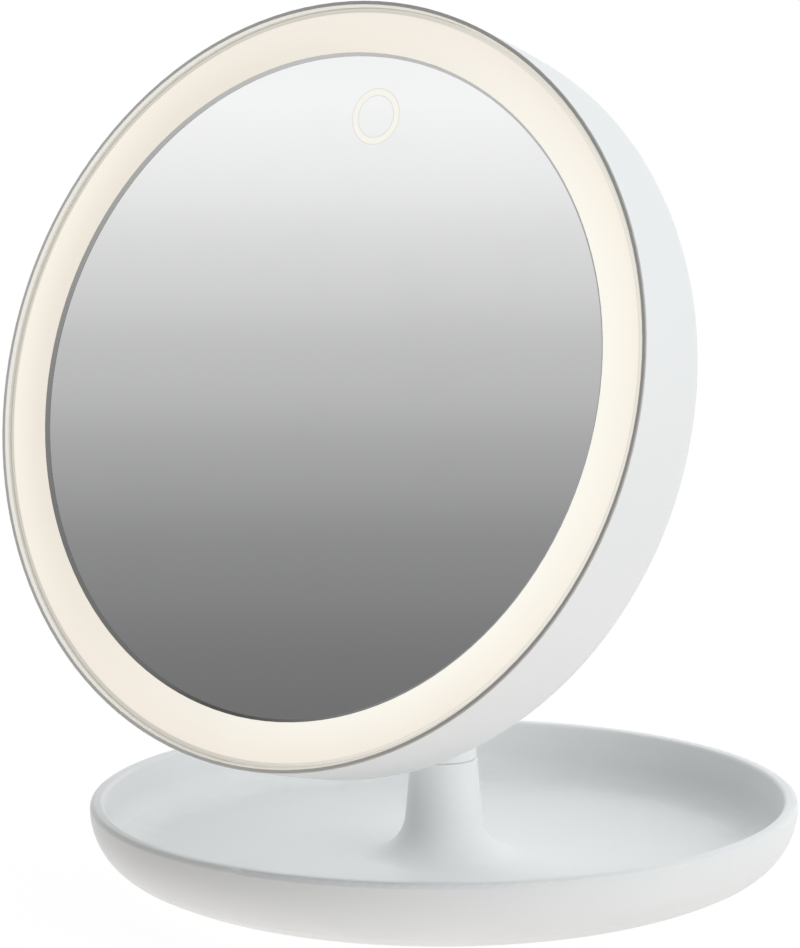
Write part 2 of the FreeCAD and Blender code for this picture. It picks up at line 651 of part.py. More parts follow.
# Foot pad: a soft ring in the cover's recess, the face that the mirror stands on.
pad_top_z = k.foot_stand + k.pad_recess
foot_pad = new_body("foot_pad")
sketch = new_sketch(foot_pad, "XZ_Plane")
draw_loop(sketch, [
    (pad_inner_r + k.pad_edge, 0),
    (pad_outer_r - k.pad_edge, 0),
    (pad_outer_r, k.pad_edge),
    (pad_outer_r, pad_top_z),
    (pad_inner_r, pad_top_z),
    (pad_inner_r, k.pad_edge),
])
turn_shape(foot_pad, "Revolution", sketch)

# Base screws: their heads are sunk in the cover and their shanks go up into the tray's bosses.
base_screws = new_body("base_screws")
sketch = new_sketch(base_screws, "XZ_Plane")
draw_loop(sketch, [
    (base_screw_circle, head_seat_z - k.screw_head_height),
    (base_screw_circle + k.screw_head_radius, head_seat_z - k.screw_head_height),
    (base_screw_circle + k.screw_head_radius, head_seat_z),
    (base_screw_circle + k.screw_radius, head_seat_z),
    (base_screw_circle + k.screw_radius, head_seat_z + k.base_screw_grip),
    (base_screw_circle, head_seat_z + k.base_screw_grip),
])
draw_axis(sketch, (base_screw_circle, 0), (base_screw_circle, rim_z))
screw = turn_shape(base_screws, "Revolution", sketch, "Axis0")
drive = cross_drive(base_screws, base_screw_circle, as_size(0), "XY_Plane",
                    head_seat_z - k.screw_head_height, True)
repeat_around(base_screws, [screw, drive], "Z_Axis", k.base_screw_count)

# Swivel bush: a long plastic bearing whose collar shows as the thin line between pillar and stem.
collar_top_z = pillar_top_z + k.bush_flange
bush_bore = k.spigot_radius + k.run_fit
swivel_bush = new_body("swivel_bush")
sketch = new_sketch(swivel_bush, "XZ_Plane")
draw_loop(sketch, [
    (bush_bore, pillar_top_z - k.bush_length),
    (k.bush_radius, pillar_top_z - k.bush_length),
    (k.bush_radius, pillar_top_z),
    (k.bush_flange_radius, pillar_top_z),
    (k.bush_flange_radius, collar_top_z),
    (bush_bore, collar_top_z),
])
turn_shape(swivel_bush, "Revolution", sketch)

# Swivel washer: lies against the foot of the pillar's bore, the nut slides on it.
washer_foot_z = under_z - k.washer_thickness
swivel_washer = new_body("swivel_washer")
sketch = new_sketch(swivel_washer, "XZ_Plane")
draw_loop(sketch, [
    (k.thread_radius + k.washer_room, washer_foot_z),
    (k.washer_radius, washer_foot_z),
    (k.washer_radius, under_z),
    (k.thread_radius + k.washer_room, under_z),
])
turn_shape(swivel_washer, "Revolution", sketch)

# Stem tube: the white tube above the parting line, slightly tapered.
stem_foot_z = collar_top_z + k.face_fit
stem_top_z = pivot_z - k.collar_drop - k.collar_height
stem_tube = new_body("stem_tube")
sketch = new_sketch(stem_tube, "XZ_Plane")
draw_loop(sketch, [
    (k.stem_bore, stem_foot_z),
    (k.stem_radius - k.stem_edge, stem_foot_z),
    (k.stem_radius, stem_foot_z + k.stem_edge),
    (k.stem_top_radius, stem_top_z),
    (k.stem_bore, stem_top_z),
])
turn_shape(stem_tube, "Revolution", sketch)

# Stem spindle: its thick end is fixed in the tube, its thin end turns in the bush and takes the nut.
plug_r = k.stem_bore - k.plug_fit
nut_top_z = washer_foot_z - k.face_fit
nut_foot_z = nut_top_z - k.nut_height
stem_spigot = new_body("stem_spigot")
sketch = new_sketch(stem_spigot, "XZ_Plane")
draw_loop(sketch, [
    (0, nut_foot_z - k.thread_past_nut),
    (k.thread_radius, nut_foot_z - k.thread_past_nut),
    (k.thread_radius, under_z + k.spindle_shoulder_gap),
    (k.spigot_radius, under_z + k.spindle_shoulder_gap),
    (k.spigot_radius, stem_foot_z),
    (plug_r, stem_foot_z),
    (plug_r, stem_foot_z + k.spigot_reach),
    (0, stem_foot_z + k.spigot_reach),
])
turn_shape(stem_spigot, "Revolution", sketch)


def hexagon(middle_x, middle_y, flats):
    """Corners of a hexagon with two corners on the sketch's X direction."""
    reach = flats / root(as_size(3))
    return [
        (middle_x + reach, middle_y),
        (middle_x + reach / 2, middle_y + flats / 2),
        (middle_x - reach / 2, middle_y + flats / 2),
        (middle_x - reach, middle_y),
        (middle_x - reach / 2, middle_y - flats / 2),
        (middle_x + reach / 2, middle_y - flats / 2),
    ]


# Swivel nut: holds the spindle down against the washer and sets the swivel's friction.
swivel_nut = new_body("swivel_nut")
sketch = new_sketch(swivel_nut, "XY_Plane", nut_foot_z)
draw_loop(sketch, hexagon(as_size(0), as_size(0), k.nut_flats))
draw_circle(sketch, 0, 0, k.thread_radius + k.thread_fit)
extrude(swivel_nut, "Pad", sketch, k.nut_height)

# Hinge knuckle: metal end of the stem, a plug in the tube, a collar and a flat tongue for the axle.
collar_z = pivot_z - k.collar_drop
hinge_knuckle = new_body("hinge_knuckle")
sketch = new_sketch(hinge_knuckle, "XZ_Plane")
draw_loop(sketch, [
    (0, stem_top_z - k.knuckle_reach),
    (plug_r, stem_top_z - k.knuckle_reach),
    (plug_r, stem_top_z),
    (k.stem_top_radius, stem_top_z),
    (k.stem_top_radius, collar_z - k.collar_bevel),
    (k.stem_top_radius - k.collar_bevel, collar_z),
    (0, collar_z),
])
turn_shape(hinge_knuckle, "Revolution", sketch)
sketch = new_sketch(hinge_knuckle, "YZ_Plane")
draw_loop(sketch, [
    (-k.tongue_radius, collar_z - k.collar_height / 2),
    (k.tongue_radius, collar_z - k.collar_height / 2),
    (k.tongue_radius, pivot_z),
    (0, pivot_z + k.tongue_radius, k.tongue_radius),
    (-k.tongue_radius, pivot_z, k.tongue_radius),
])
extrude(hinge_knuckle, "Pad", sketch, k.tongue_width, both_ways=True)
# The tongue's square corners are trimmed to the round of the stem below the axle.
sketch = new_sketch(hinge_knuckle, "XY_Plane", collar_z - k.collar_height / 2)
draw_circle(sketch, 0, 0, k.stem_top_radius * 2)
draw_circle(sketch, 0, 0, k.stem_top_radius)
extrude(hinge_knuckle, "Pocket", sketch, k.collar_drop * 3, backward=True)
sketch = new_sketch(hinge_knuckle, "YZ_Plane")
draw_circle(sketch, 0, pivot_z, k.axle_radius + k.run_fit)
extrude(hinge_knuckle, "Pocket", sketch, k.tongue_width * 2, both_ways=True)

# The head's depth figures, measured from its front edge backward.
corner_r = k.head_radius - k.corner_inset
shoulder_r = corner_r + k.corner_radius * cosine(k.corner_start_angle)
shoulder_s = k.corner_depth + k.corner_radius * sine(k.corner_start_angle)
back_edge_r = corner_r + k.corner_radius * cosine(k.corner_end_angle)
back_edge_s = k.corner_depth + k.corner_radius * sine(k.corner_end_angle)
dome_radius = back_edge_r / cosine(k.corner_end_angle)
dome_centre_s = back_edge_s - dome_radius * sine(k.corner_end_angle)
side_r = k.head_radius - shoulder_r
side_s = shoulder_s - k.housing_start
side_lean = side_s * sine(k.corner_start_angle) - side_r * cosine(k.corner_start_angle)
side_radius = (side_r * side_r + side_s * side_s) / (2 * side_lean)
inner_corner = k.corner_radius - k.housing_wall
inner_dome = dome_radius - k.housing_wall
seat_r = k.flange_radius + k.flange_fit
seat_edge_s = dome_centre_s + root(dome_radius * dome_radius - seat_r * seat_r)
seat_s = seat_edge_s - k.seat_depth
seat_back_s = seat_s - k.housing_wall
land_r = seat_r + k.seat_rim
land_s = dome_centre_s + root(inner_dome * inner_dome - land_r * land_r)
flange_back_s = seat_s + k.flange_thickness
pivot_depth = flange_back_s + k.pivot_stand
plate_front_s = k.glass_depth + k.glass_thickness + k.tape_thickness
plate_back_s = plate_front_s + k.carrier_plate

# The head's rings, from its edge inward, and the places of what it carries.
ledge_r = k.head_radius - k.ledge_step
trim_inner_r = k.head_radius - k.trim_land - k.trim_bevel
light_outer_r = trim_inner_r - k.groove_width
light_inner_r = light_outer_r - k.light_width
glass_r = light_inner_r - k.gasket_width
touch_z = glass_r - k.touch_inset
post_circle = k.head_radius - k.post_inset
yoke_screw_circle = k.flange_radius - k.yoke_screw_inset
battery_width = 2 * (post_circle - k.post_radius - k.battery_side_room)
battery_z = touch_z - k.touch_board_height / 2 - k.battery_gap - k.battery_height / 2
board_z = k.main_board_height / 2 + k.board_rim_room - post_circle
socket_z = board_z - k.socket_drop
socket_reach = k.socket_x * k.socket_x + socket_z * socket_z
socket_skin_s = dome_centre_s + root(dome_radius * dome_radius - socket_reach)
board_back_s = socket_skin_s - k.socket_recess - k.socket_length
board_front_s = board_back_s - k.main_board_thickness

# Rear housing: a drum with a gently curved side, a round rear corner, a slightly domed back,
# a sunk seat for the hinge, posts for the inner frame and the board, and the charging inlet's opening.
rear_housing = new_body("rear_housing")
sketch = new_sketch(rear_housing, "XY_Plane")
draw_loop(sketch, [
    (ledge_r, k.housing_start),
    (k.head_radius, k.housing_start),
    (shoulder_r, shoulder_s, side_radius),
    (back_edge_r, back_edge_s, k.corner_radius),
    (seat_r, seat_edge_s, dome_radius),
    (seat_r, seat_s),
    (0, seat_s),
    (0, seat_back_s),
    (land_r, seat_back_s),
    (land_r, land_s),
    (corner_r + inner_corner * cosine(k.corner_end_angle),
     k.corner_depth + inner_corner * sine(k.corner_end_angle), -inner_dome),
    (corner_r + inner_corner * cosine(k.corner_start_angle),
     k.corner_depth + inner_corner * sine(k.corner_start_angle), -inner_corner),
    (k.head_radius - k.housing_wall, k.ledge_depth, -(side_radius - k.housing_wall)),
    (ledge_r, k.ledge_depth),
])
turn_shape(rear_housing, "Revolution", sketch)
post_end_s = dome_centre_s + root((dome_radius - k.housing_wall / 2) * (dome_radius - k.housing_wall / 2)
                                  - post_circle * post_circle)
sketch = new_sketch(rear_housing, "XZ_Plane", -plate_back_s)
draw_circle(sketch, post_circle, 0, k.post_radius)
post = extrude(rear_housing, "Pad", sketch, post_end_s - plate_back_s, backward=True)
repeat_around(rear_housing, [post], "Y_Axis", k.post_count)
sketch = new_sketch(rear_housing, "XZ_Plane", -plate_back_s)
draw_circle(sketch, post_circle, 0, k.screw_radius + k.screw_fit)
bore = extrude(rear_housing, "Pocket", sketch, k.post_bore_depth)
repeat_around(rear_housing, [bore], "Y_Axis", k.post_count)

post_across = k.main_board_width / 2 - k.board_post_inset
post_up = k.main_board_height / 2 - k.board_post_inset
board_posts = []
for across in (-1, 1):
    for up in (-1, 1):
        board_posts.append((k.main_board_x + across * post_across, board_z + up * post_up))
for post_x, post_z in board_posts:
    reach = dome_centre_s + root((dome_radius - k.housing_wall / 2) * (dome_radius - k.housing_wall / 2)
                                 - post_x * post_x - post_z * post_z)
    sketch = new_sketch(rear_housing, "XZ_Plane", -board_back_s)
    draw_circle(sketch, post_x, post_z, k.board_post_radius)
    extrude(rear_housing, "Pad", sketch, reach - board_back_s, backward=True)
sketch = new_sketch(rear_housing, "XZ_Plane", -board_back_s)
for post_x, post_z in board_posts:
    draw_circle(sketch, post_x, post_z, k.screw_radius + k.screw_fit)
extrude(rear_housing, "Pocket", sketch, k.board_post_bore)
sketch = new_sketch(rear_housing, "XZ_Plane", -board_back_s)
draw_loop(sketch, round_box_corners(
    k.socket_x, socket_z, k.socket_width + 2 * k.socket_room, k.socket_height + 2 * k.socket_room,
    k.socket_corner + k.socket_room))
extrude(rear_housing, "Pocket", sketch, mode="ThroughAll")
yoke_screw_x = yoke_screw_circle / root(as_size(2))
sketch = new_sketch(rear_housing, "XZ_Plane", -seat_back_s)
draw_circle(sketch, yoke_screw_x, yoke_screw_x, k.screw_radius + k.screw_fit)
hole = extrude(rear_housing, "Pocket", sketch, k.housing_wall * 2)
repeat_around(rear_housing, [hole], "Y_Axis", k.yoke_screw_count)
into_head(rear_housing)

# Trim ring: a thin grey ring with a flat front, a bevel towards the light and a sleeve in the housing.
sleeve_r = ledge_r - k.trim_fit
trim_ring = new_body("trim_ring")
sketch = new_sketch(trim_ring, "XY_Plane")
draw_loop(sketch, [
    (k.head_radius - k.trim_land, 0),
    (k.head_radius - k.trim_edge, 0),
    (k.head_radius, k.trim_edge),
    (k.head_radius, k.housing_start),
    (sleeve_r, k.housing_start),
    (sleeve_r, k.trim_reach),
    (trim_inner_r, k.trim_reach),
    (trim_inner_r, k.trim_bevel_depth),
])
turn_shape(trim_ring, "Revolution", sketch)
into_head(trim_ring)

# Diffuser ring: opal plastic with a gently crowned face, a sunk flange and two feet on the inner frame.
flange_face_s = k.light_outer_depth + k.flange_step
flange_r = trim_inner_r - k.diffuser_fit
diffuser_ring = new_body("diffuser_ring")
sketch = new_sketch(diffuser_ring, "XY_Plane")
draw_loop(sketch, [
    (light_outer_r, flange_face_s),
    (flange_r, flange_face_s),
    (flange_r, k.diffuser_seat),
    (light_outer_r - k.diffuser_foot, k.diffuser_seat),
    (light_outer_r - k.diffuser_foot, k.light_outer_depth + k.diffuser_wall),
    (light_inner_r + k.diffuser_foot, k.light_inner_depth + k.diffuser_wall),
    (light_inner_r + k.diffuser_foot, k.diffuser_seat),
    (light_inner_r, k.diffuser_seat),
    (light_inner_r, k.light_inner_depth),
    (light_outer_r, k.light_outer_depth, k.light_crown),
])
turn_shape(diffuser_ring, "Revolution", sketch)
into_head(diffuser_ring)

# Mirror glass: a silvered disc with a ground edge and a shallow ring let in for the touch window.
glass_back_s = k.glass_depth + k.glass_thickness
mirror_glass = new_body("mirror_glass")
sketch = new_sketch(mirror_glass, "XY_Plane")
draw_loop(sketch, [
    (0, k.glass_depth),
    (glass_r - k.glass_edge, k.glass_depth),
    (glass_r, k.glass_depth + k.glass_edge),
    (glass_r, glass_back_s),
    (0, glass_back_s),
])
turn_shape(mirror_glass, "Revolution", sketch)
sketch = new_sketch(mirror_glass, "XZ_Plane", -k.glass_depth)
draw_circle(sketch, 0, touch_z, k.touch_outer_radius + k.touch_fit)
draw_circle(sketch, 0, touch_z, k.touch_inner_radius - k.touch_fit)
extrude(mirror_glass, "Pocket", sketch, k.touch_sink)
into_head(mirror_glass)

# Touch ring window: the frosted ring that is lit from behind and senses a fingertip.
touch_ring_window = new_body("touch_ring_window")
sketch = new_sketch(touch_ring_window, "XZ_Plane", -k.glass_depth)
draw_circle(sketch, 0, touch_z, k.touch_outer_radius)
draw_circle(sketch, 0, touch_z, k.touch_inner_radius)
extrude(touch_ring_window, "Pad", sketch, k.touch_sink, backward=True)
into_head(touch_ring_window)

# Mirror gasket: a grey ring with a bevelled lip that closes the gap between the light and the glass
# and covers the glass's ground edge.
gasket_outer_r = light_inner_r - k.gasket_fit
gasket_inner_r = glass_r + k.gasket_fit
gasket_tip_r = glass_r - k.glass_edge - k.gasket_fit
gasket_tip_s = k.glass_depth - 2 * k.gasket_fit
mirror_gasket = new_body("mirror_gasket")
sketch = new_sketch(mirror_gasket, "XY_Plane")
draw_loop(sketch, [
    (gasket_outer_r, k.light_inner_depth),
    (gasket_outer_r, plate_front_s),
    (gasket_inner_r - k.gasket_lip, plate_front_s),
    (gasket_inner_r - k.gasket_lip, glass_back_s),
    (gasket_inner_r, glass_back_s),
    (gasket_inner_r, k.glass_depth + k.glass_edge),
    (gasket_tip_r, gasket_tip_s),
])
turn_shape(mirror_gasket, "Revolution", sketch)
into_head(mirror_gasket)

# Mirror pad: foam tape between the glass and the carrier, with a hole for the touch light guide.
guide_outer_r = k.touch_outer_radius + k.guide_margin
guide_inner_r = k.touch_inner_radius - k.guide_margin
mirror_pad = new_body("mirror_pad")
sketch = new_sketch(mirror_pad, "XZ_Plane", -glass_back_s)
draw_circle(sketch, 0, 0, gasket_inner_r - k.gasket_lip - k.gasket_fit)
draw_circle(sketch, 0, 0, k.tape_inner_radius)
draw_circle(sketch, 0, touch_z, guide_outer_r + k.guide_room)
extrude(mirror_pad, "Pad", sketch, k.tape_thickness, backward=True)
into_head(mirror_pad)

# Carrier plate: the inner frame, a plate behind the glass with a light channel round it.
channel_inner_r = light_inner_r + k.channel_wall
channel_outer_r = light_outer_r - k.diffuser_foot
channel_back_s = k.channel_depth + k.channel_floor
channel_lean = sine(k.channel_draft_angle) / cosine(k.channel_draft_angle)
channel_draft = (channel_back_s - k.ledge_depth) * channel_lean
channel_floor_r = channel_outer_r - channel_draft
carrier_edge_r = trim_inner_r - k.carrier_fit
channel_side_r = k.head_radius - k.housing_wall - k.channel_room
carrier_plate = new_body("carrier_plate")
sketch = new_sketch(carrier_plate, "XY_Plane")
draw_loop(sketch, [
    (0, plate_front_s),
    (light_inner_r, plate_front_s),
    (light_inner_r, k.diffuser_seat),
    (channel_inner_r, k.diffuser_seat),
    (channel_inner_r, k.channel_depth),
    (channel_floor_r, k.channel_depth),
    (channel_outer_r, k.diffuser_seat),
    (carrier_edge_r, k.diffuser_seat),
    (carrier_edge_r, k.ledge_depth),
    (channel_side_r, k.ledge_depth),
    (channel_side_r - channel_draft, channel_back_s),
    (light_inner_r, channel_back_s),
    (light_inner_r, plate_back_s),
    (0, plate_back_s),
])
turn_shape(carrier_plate, "Revolution", sketch)
sketch = new_sketch(carrier_plate, "XZ_Plane", -plate_front_s)
draw_circle(sketch, 0, touch_z, guide_outer_r + k.guide_room)
extrude(carrier_plate, "Pocket", sketch, k.carrier_plate * 2)
sketch = new_sketch(carrier_plate, "XY_Plane")
draw_loop(sketch, [
    (post_circle, plate_front_s),
    (post_circle + k.flat_head_radius + k.screw_fit, plate_front_s),
    (post_circle + k.screw_radius + k.screw_fit, plate_front_s + k.flat_head_height),
    (post_circle + k.screw_radius + k.screw_fit, plate_back_s),
    (post_circle, plate_back_s),
])
draw_axis(sketch, (post_circle, 0), (post_circle, plate_back_s))
sink = turn_shape(carrier_plate, "Groove", sketch, "Axis0")
repeat_around(carrier_plate, [sink], "Y_Axis", k.post_count)
into_head(carrier_plate)

# Carrier screws: flat heads under the tape, shanks in the housing's posts.
carrier_screws = new_body("carrier_screws")
sketch = new_sketch(carrier_screws, "XY_Plane")
draw_loop(sketch, [
    (post_circle, plate_front_s),
    (post_circle + k.flat_head_radius, plate_front_s),
    (post_circle + k.screw_radius, plate_front_s + k.flat_head_height),
    (post_circle + k.screw_radius, plate_front_s + k.carrier_screw_grip),
    (post_circle, plate_front_s + k.carrier_screw_grip),
])
draw_axis(sketch, (post_circle, 0), (post_circle, plate_back_s))
screw = turn_shape(carrier_screws, "Revolution", sketch, "Axis0")
repeat_around(carrier_screws, [screw], "Y_Axis", k.post_count)
into_head(carrier_screws)

# Light board: a ring on the channel's floor.
led_board_front_s = k.channel_depth - k.led_board_thickness
led_board = new_body("led_board")
sketch = new_sketch(led_board, "XY_Plane")
draw_loop(sketch, [
    (channel_inner_r + k.led_board_room, led_board_front_s),
    (channel_floor_r - k.led_board_room, led_board_front_s),
    (channel_floor_r - k.led_board_room, k.channel_depth),
    (channel_inner_r + k.led_board_room, k.channel_depth),
])
turn_shape(led_board, "Revolution", sketch)
into_head(led_board)

# Light sources: small blocks all round the light board.
led_circle = (channel_inner_r + channel_floor_r) / 2
leds = new_body("leds")
sketch = new_sketch(leds, "XZ_Plane", -led_board_front_s)
draw_loop(sketch, box_corners(led_circle, as_size(0), k.led_length, k.led_width))
led = extrude(leds, "Pad", sketch, k.led_height)
repeat_around(leds, [led], "Y_Axis", k.led_count)
into_head(leds)

# Touch board: the sensor behind the touch ring, stuck to the back of the carrier.
touch_board = new_body("touch_board")
sketch = new_sketch(touch_board, "XZ_Plane", -plate_back_s)
draw_loop(sketch, box_corners(as_size(0), touch_z, k.touch_board_width, k.touch_board_height))
extrude(touch_board, "Pad", sketch, k.board_thickness, backward=True)
into_head(touch_board)

# Touch light guide: a clear ring from the touch board through the carrier to the glass.
touch_light_guide = new_body("touch_light_guide")
sketch = new_sketch(touch_light_guide, "XZ_Plane", -glass_back_s)
draw_circle(sketch, 0, touch_z, guide_outer_r)
draw_circle(sketch, 0, touch_z, guide_inner_r)
extrude(touch_light_guide, "Pad", sketch, plate_back_s - glass_back_s, backward=True)
into_head(touch_light_guide)

# Battery tape and battery pack: a flat pack stuck to the back of the carrier.
tape_width = battery_width - 2 * k.battery_tape_margin
tape_height = k.battery_height - 2 * k.battery_tape_margin
battery_pad = new_body("battery_pad")
sketch = new_sketch(battery_pad, "XZ_Plane", -plate_back_s)
draw_loop(sketch, box_corners(as_size(0), battery_z, tape_width, tape_height))
extrude(battery_pad, "Pad", sketch, k.battery_tape, backward=True)
into_head(battery_pad)
battery_front_s = plate_back_s + k.battery_tape
battery_pack = new_body("battery_pack")
sketch = new_sketch(battery_pack, "XZ_Plane", -battery_front_s)
draw_loop(sketch, round_box_corners(as_size(0), battery_z, battery_width, k.battery_height, k.battery_round))
extrude(battery_pack, "Pad", sketch, k.battery_thickness, backward=True)
into_head(battery_pack)

# Main board: carried by four posts of the housing.
main_board = new_body("main_board")
sketch = new_sketch(main_board, "XZ_Plane", -board_front_s)
draw_loop(sketch, box_corners(k.main_board_x, board_z, k.main_board_width, k.main_board_height))
for post_x, post_z in board_posts:
    draw_circle(sketch, post_x, post_z, k.screw_radius + k.screw_fit)
extrude(main_board, "Pad", sketch, k.main_board_thickness, backward=True)
into_head(main_board)

# Board components: control chip, choke and two cable headers on the front of the main board.
board_chips = new_body("board_chips")
sketch = new_sketch(board_chips, "XZ_Plane", -board_front_s)
draw_loop(sketch, box_corners(k.main_board_x, board_z, k.chip_size, k.chip_size))
extrude(board_chips, "Pad", sketch, k.chip_height)
sketch = new_sketch(board_chips, "XZ_Plane", -board_front_s)
draw_circle(sketch, k.main_board_x + k.plug_pitch, board_z, k.coil_radius)
extrude(board_chips, "Pad", sketch, k.coil_height)
sketch = new_sketch(board_chips, "XZ_Plane", -board_front_s)
draw_loop(sketch, box_corners(
    k.main_board_x - k.plug_pitch / 2, board_z + post_up, k.plug_width, k.plug_depth))
draw_loop(sketch, box_corners(
    k.main_board_x + k.plug_pitch / 2, board_z + post_up, k.plug_width, k.plug_depth))
extrude(board_chips, "Pad", sketch, k.plug_height)
into_head(board_chips)

# Board screws: their heads press the board onto the posts.
board_screws = new_body("board_screws")
sketch = new_sketch(board_screws, "XZ_Plane", -board_front_s)
for post_x, post_z in board_posts:
    draw_circle(sketch, post_x, post_z, k.screw_head_radius)
extrude(board_screws, "Pad", sketch, k.screw_head_height)
sketch = new_sketch(board_screws, "XZ_Plane", -board_front_s)
for post_x, post_z in board_posts:
    draw_circle(sketch, post_x, post_z, k.screw_radius)
extrude(board_screws, "Pad", sketch, k.board_screw_grip, backward=True)
into_head(board_screws)

# Charging socket: a flat metal shell with a contact tongue, standing on the main board.
socket_mouth_s = board_back_s + k.socket_length
charge_socket = new_body("charge_socket")
sketch = new_sketch(charge_socket, "XZ_Plane", -board_back_s)
draw_loop(sketch, round_box_corners(
    k.socket_x, socket_z, k.socket_width, k.socket_height, k.socket_corner))
extrude(charge_socket, "Pad", sketch, k.socket_length, backward=True)
sketch = new_sketch(charge_socket, "XZ_Plane", -socket_mouth_s)
draw_loop(sketch, round_box_corners(
    k.socket_x, socket_z, k.socket_width - 2 * k.socket_wall, k.socket_height - 2 * k.socket_wall,
    k.socket_corner - k.socket_wall))
draw_loop(sketch, box_corners(k.socket_x, socket_z, k.socket_tongue_width, k.socket_tongue_height))
extrude(charge_socket, "Pocket", sketch, k.socket_length - k.socket_back, backward=True)
sketch = new_sketch(charge_socket, "XZ_Plane", -socket_mouth_s)
draw_loop(sketch, box_corners(
    k.socket_x, socket_z, k.socket_tongue_width + k.socket_wall, k.socket_tongue_height + k.socket_wall))
extrude(charge_socket, "Pocket", sketch,
        k.socket_length - k.socket_back - k.socket_tongue_length, backward=True)
into_head(charge_socket)

# Hinge yoke: a round flange in the housing's seat with two ears for the tilt axle.
slot_half = k.tongue_width / 2 + k.face_fit + k.friction_thickness
ear_face = slot_half + k.ear_thickness
clamp_face = slot_half + k.ear_clamp
axle_bore = k.axle_radius + k.axle_fit
root_start_s = flange_back_s - k.flange_thickness / 2
root_end_s = flange_back_s + k.ear_root_length
root_run = root_end_s - root_start_s
root_drop = root(k.ear_root_radius * k.ear_root_radius - root_run * root_run)
root_half = k.ear_radius + k.ear_root_radius - root_drop
hinge_yoke = new_body("hinge_yoke")
sketch = new_sketch(hinge_yoke, "XY_Plane")
draw_loop(sketch, [
    (0, seat_s),
    (k.flange_radius, seat_s),
    (k.flange_radius, flange_back_s - k.flange_round),
    (k.flange_radius - k.flange_round, flange_back_s, k.flange_round),
    (0, flange_back_s),
])
turn_shape(hinge_yoke, "Revolution", sketch)
sketch = new_sketch(hinge_yoke, "YZ_Plane")
draw_loop(sketch, [
    (root_start_s, -root_half),
    (root_end_s, -k.ear_radius, -k.ear_root_radius),
    (pivot_depth, -k.ear_radius),
    (pivot_depth + k.ear_radius, 0, k.ear_radius),
    (pivot_depth, k.ear_radius, k.ear_radius),
    (root_end_s, k.ear_radius),
    (root_start_s, root_half, -k.ear_root_radius),
])
ears = extrude(hinge_yoke, "Pad", sketch, ear_face * 2, both_ways=True)
outer_edges = []
for number, edge in enumerate(hinge_yoke.Shape.Edges, start=1):
    box = edge.BoundBox
    flat = box.XLength < 0.01 and abs(abs(box.Center.x) - ear_face.value) < 0.01
    if flat and box.YMax > flange_back_s.value + 0.01:
        outer_edges.append(f"Edge{number}")
rounding = hinge_yoke.newObject("PartDesign::Fillet", "hinge_yoke_rounding")
rounding.Base = (ears, outer_edges)
rounding.Radius = k.ear_round.value
rounding.setExpression("Radius", k.ear_round.text)
doc.recompute()
sketch = new_sketch(hinge_yoke, "XY_Plane")
draw_loop(sketch, [
    (-slot_half, flange_back_s),
    (slot_half, flange_back_s),
    (slot_half, pivot_depth + k.ear_radius * 2),
    (-slot_half, pivot_depth + k.ear_radius * 2),
])
extrude(hinge_yoke, "Pocket", sketch, root_half * 4, both_ways=True)
sketch = new_sketch(hinge_yoke, "XY_Plane")
cap_seat_r = k.cap_radius + k.cap_fit
draw_loop(sketch, [
    (-(ear_face * 2), pivot_depth),
    (ear_face * 2, pivot_depth),
    (ear_face * 2, pivot_depth + cap_seat_r),
    (clamp_face, pivot_depth + cap_seat_r),
    (clamp_face, pivot_depth + axle_bore),
    (-clamp_face, pivot_depth + axle_bore),
    (-clamp_face, pivot_depth + cap_seat_r),
    (-(ear_face * 2), pivot_depth + cap_seat_r),
])
draw_axis(sketch, (0, pivot_depth), (ear_face, pivot_depth))
turn_shape(hinge_yoke, "Groove", sketch, "Axis0")
sketch = new_sketch(hinge_yoke, "XZ_Plane", -seat_s)
draw_circle(sketch, yoke_screw_x, yoke_screw_x, k.screw_radius + k.screw_fit)
bore = extrude(hinge_yoke, "Pocket", sketch, k.yoke_screw_bite + k.screw_fit)
repeat_around(hinge_yoke, [bore], "Y_Axis", k.yoke_screw_count)
into_head(hinge_yoke)

# Yoke screws: driven from inside the housing into the flange.
yoke_screws = new_body("yoke_screws")
sketch = new_sketch(yoke_screws, "XZ_Plane", -seat_back_s)
draw_circle(sketch, yoke_screw_x, yoke_screw_x, k.screw_head_radius)
head = extrude(yoke_screws, "Pad", sketch, k.screw_head_height)
sketch = new_sketch(yoke_screws, "XZ_Plane", -seat_back_s)
draw_circle(sketch, yoke_screw_x, yoke_screw_x, k.screw_radius)
shank = extrude(yoke_screws, "Pad", sketch, k.housing_wall + k.yoke_screw_bite, backward=True)
repeat_around(yoke_screws, [head, shank], "Y_Axis", k.yoke_screw_count)
into_head(yoke_screws)

# Hinge axle: a bolt through both ears and the tongue.
hinge_bolt = new_body("hinge_bolt")
axle_end = clamp_face + k.axle_nut_height + k.axle_past_nut
sketch = new_sketch(hinge_bolt, "XY_Plane")
draw_loop(sketch, [
    (-axle_end, pivot_depth),
    (clamp_face + k.axle_head_height, pivot_depth),
    (clamp_face + k.axle_head_height, pivot_depth + k.axle_head_radius),
    (clamp_face, pivot_depth + k.axle_head_radius),
    (clamp_face, pivot_depth + k.axle_radius),
    (-axle_end, pivot_depth + k.axle_radius),
])
draw_axis(sketch, (0, pivot_depth), (ear_face, pivot_depth))
turn_shape(hinge_bolt, "Revolution", sketch, "Axis0")
into_head(hinge_bolt)

# Hinge nut: sets how hard the ears are clamped.
hinge_nut = new_body("hinge_nut")
sketch = new_sketch(hinge_nut, "YZ_Plane", -(clamp_face + k.axle_nut_height))
draw_loop(sketch, hexagon(pivot_depth, as_size(0), k.axle_nut_flats))
draw_circle(sketch, pivot_depth, 0, k.axle_radius + k.thread_fit)
extrude(hinge_nut, "Pad", sketch, k.axle_nut_height)
into_head(hinge_nut)

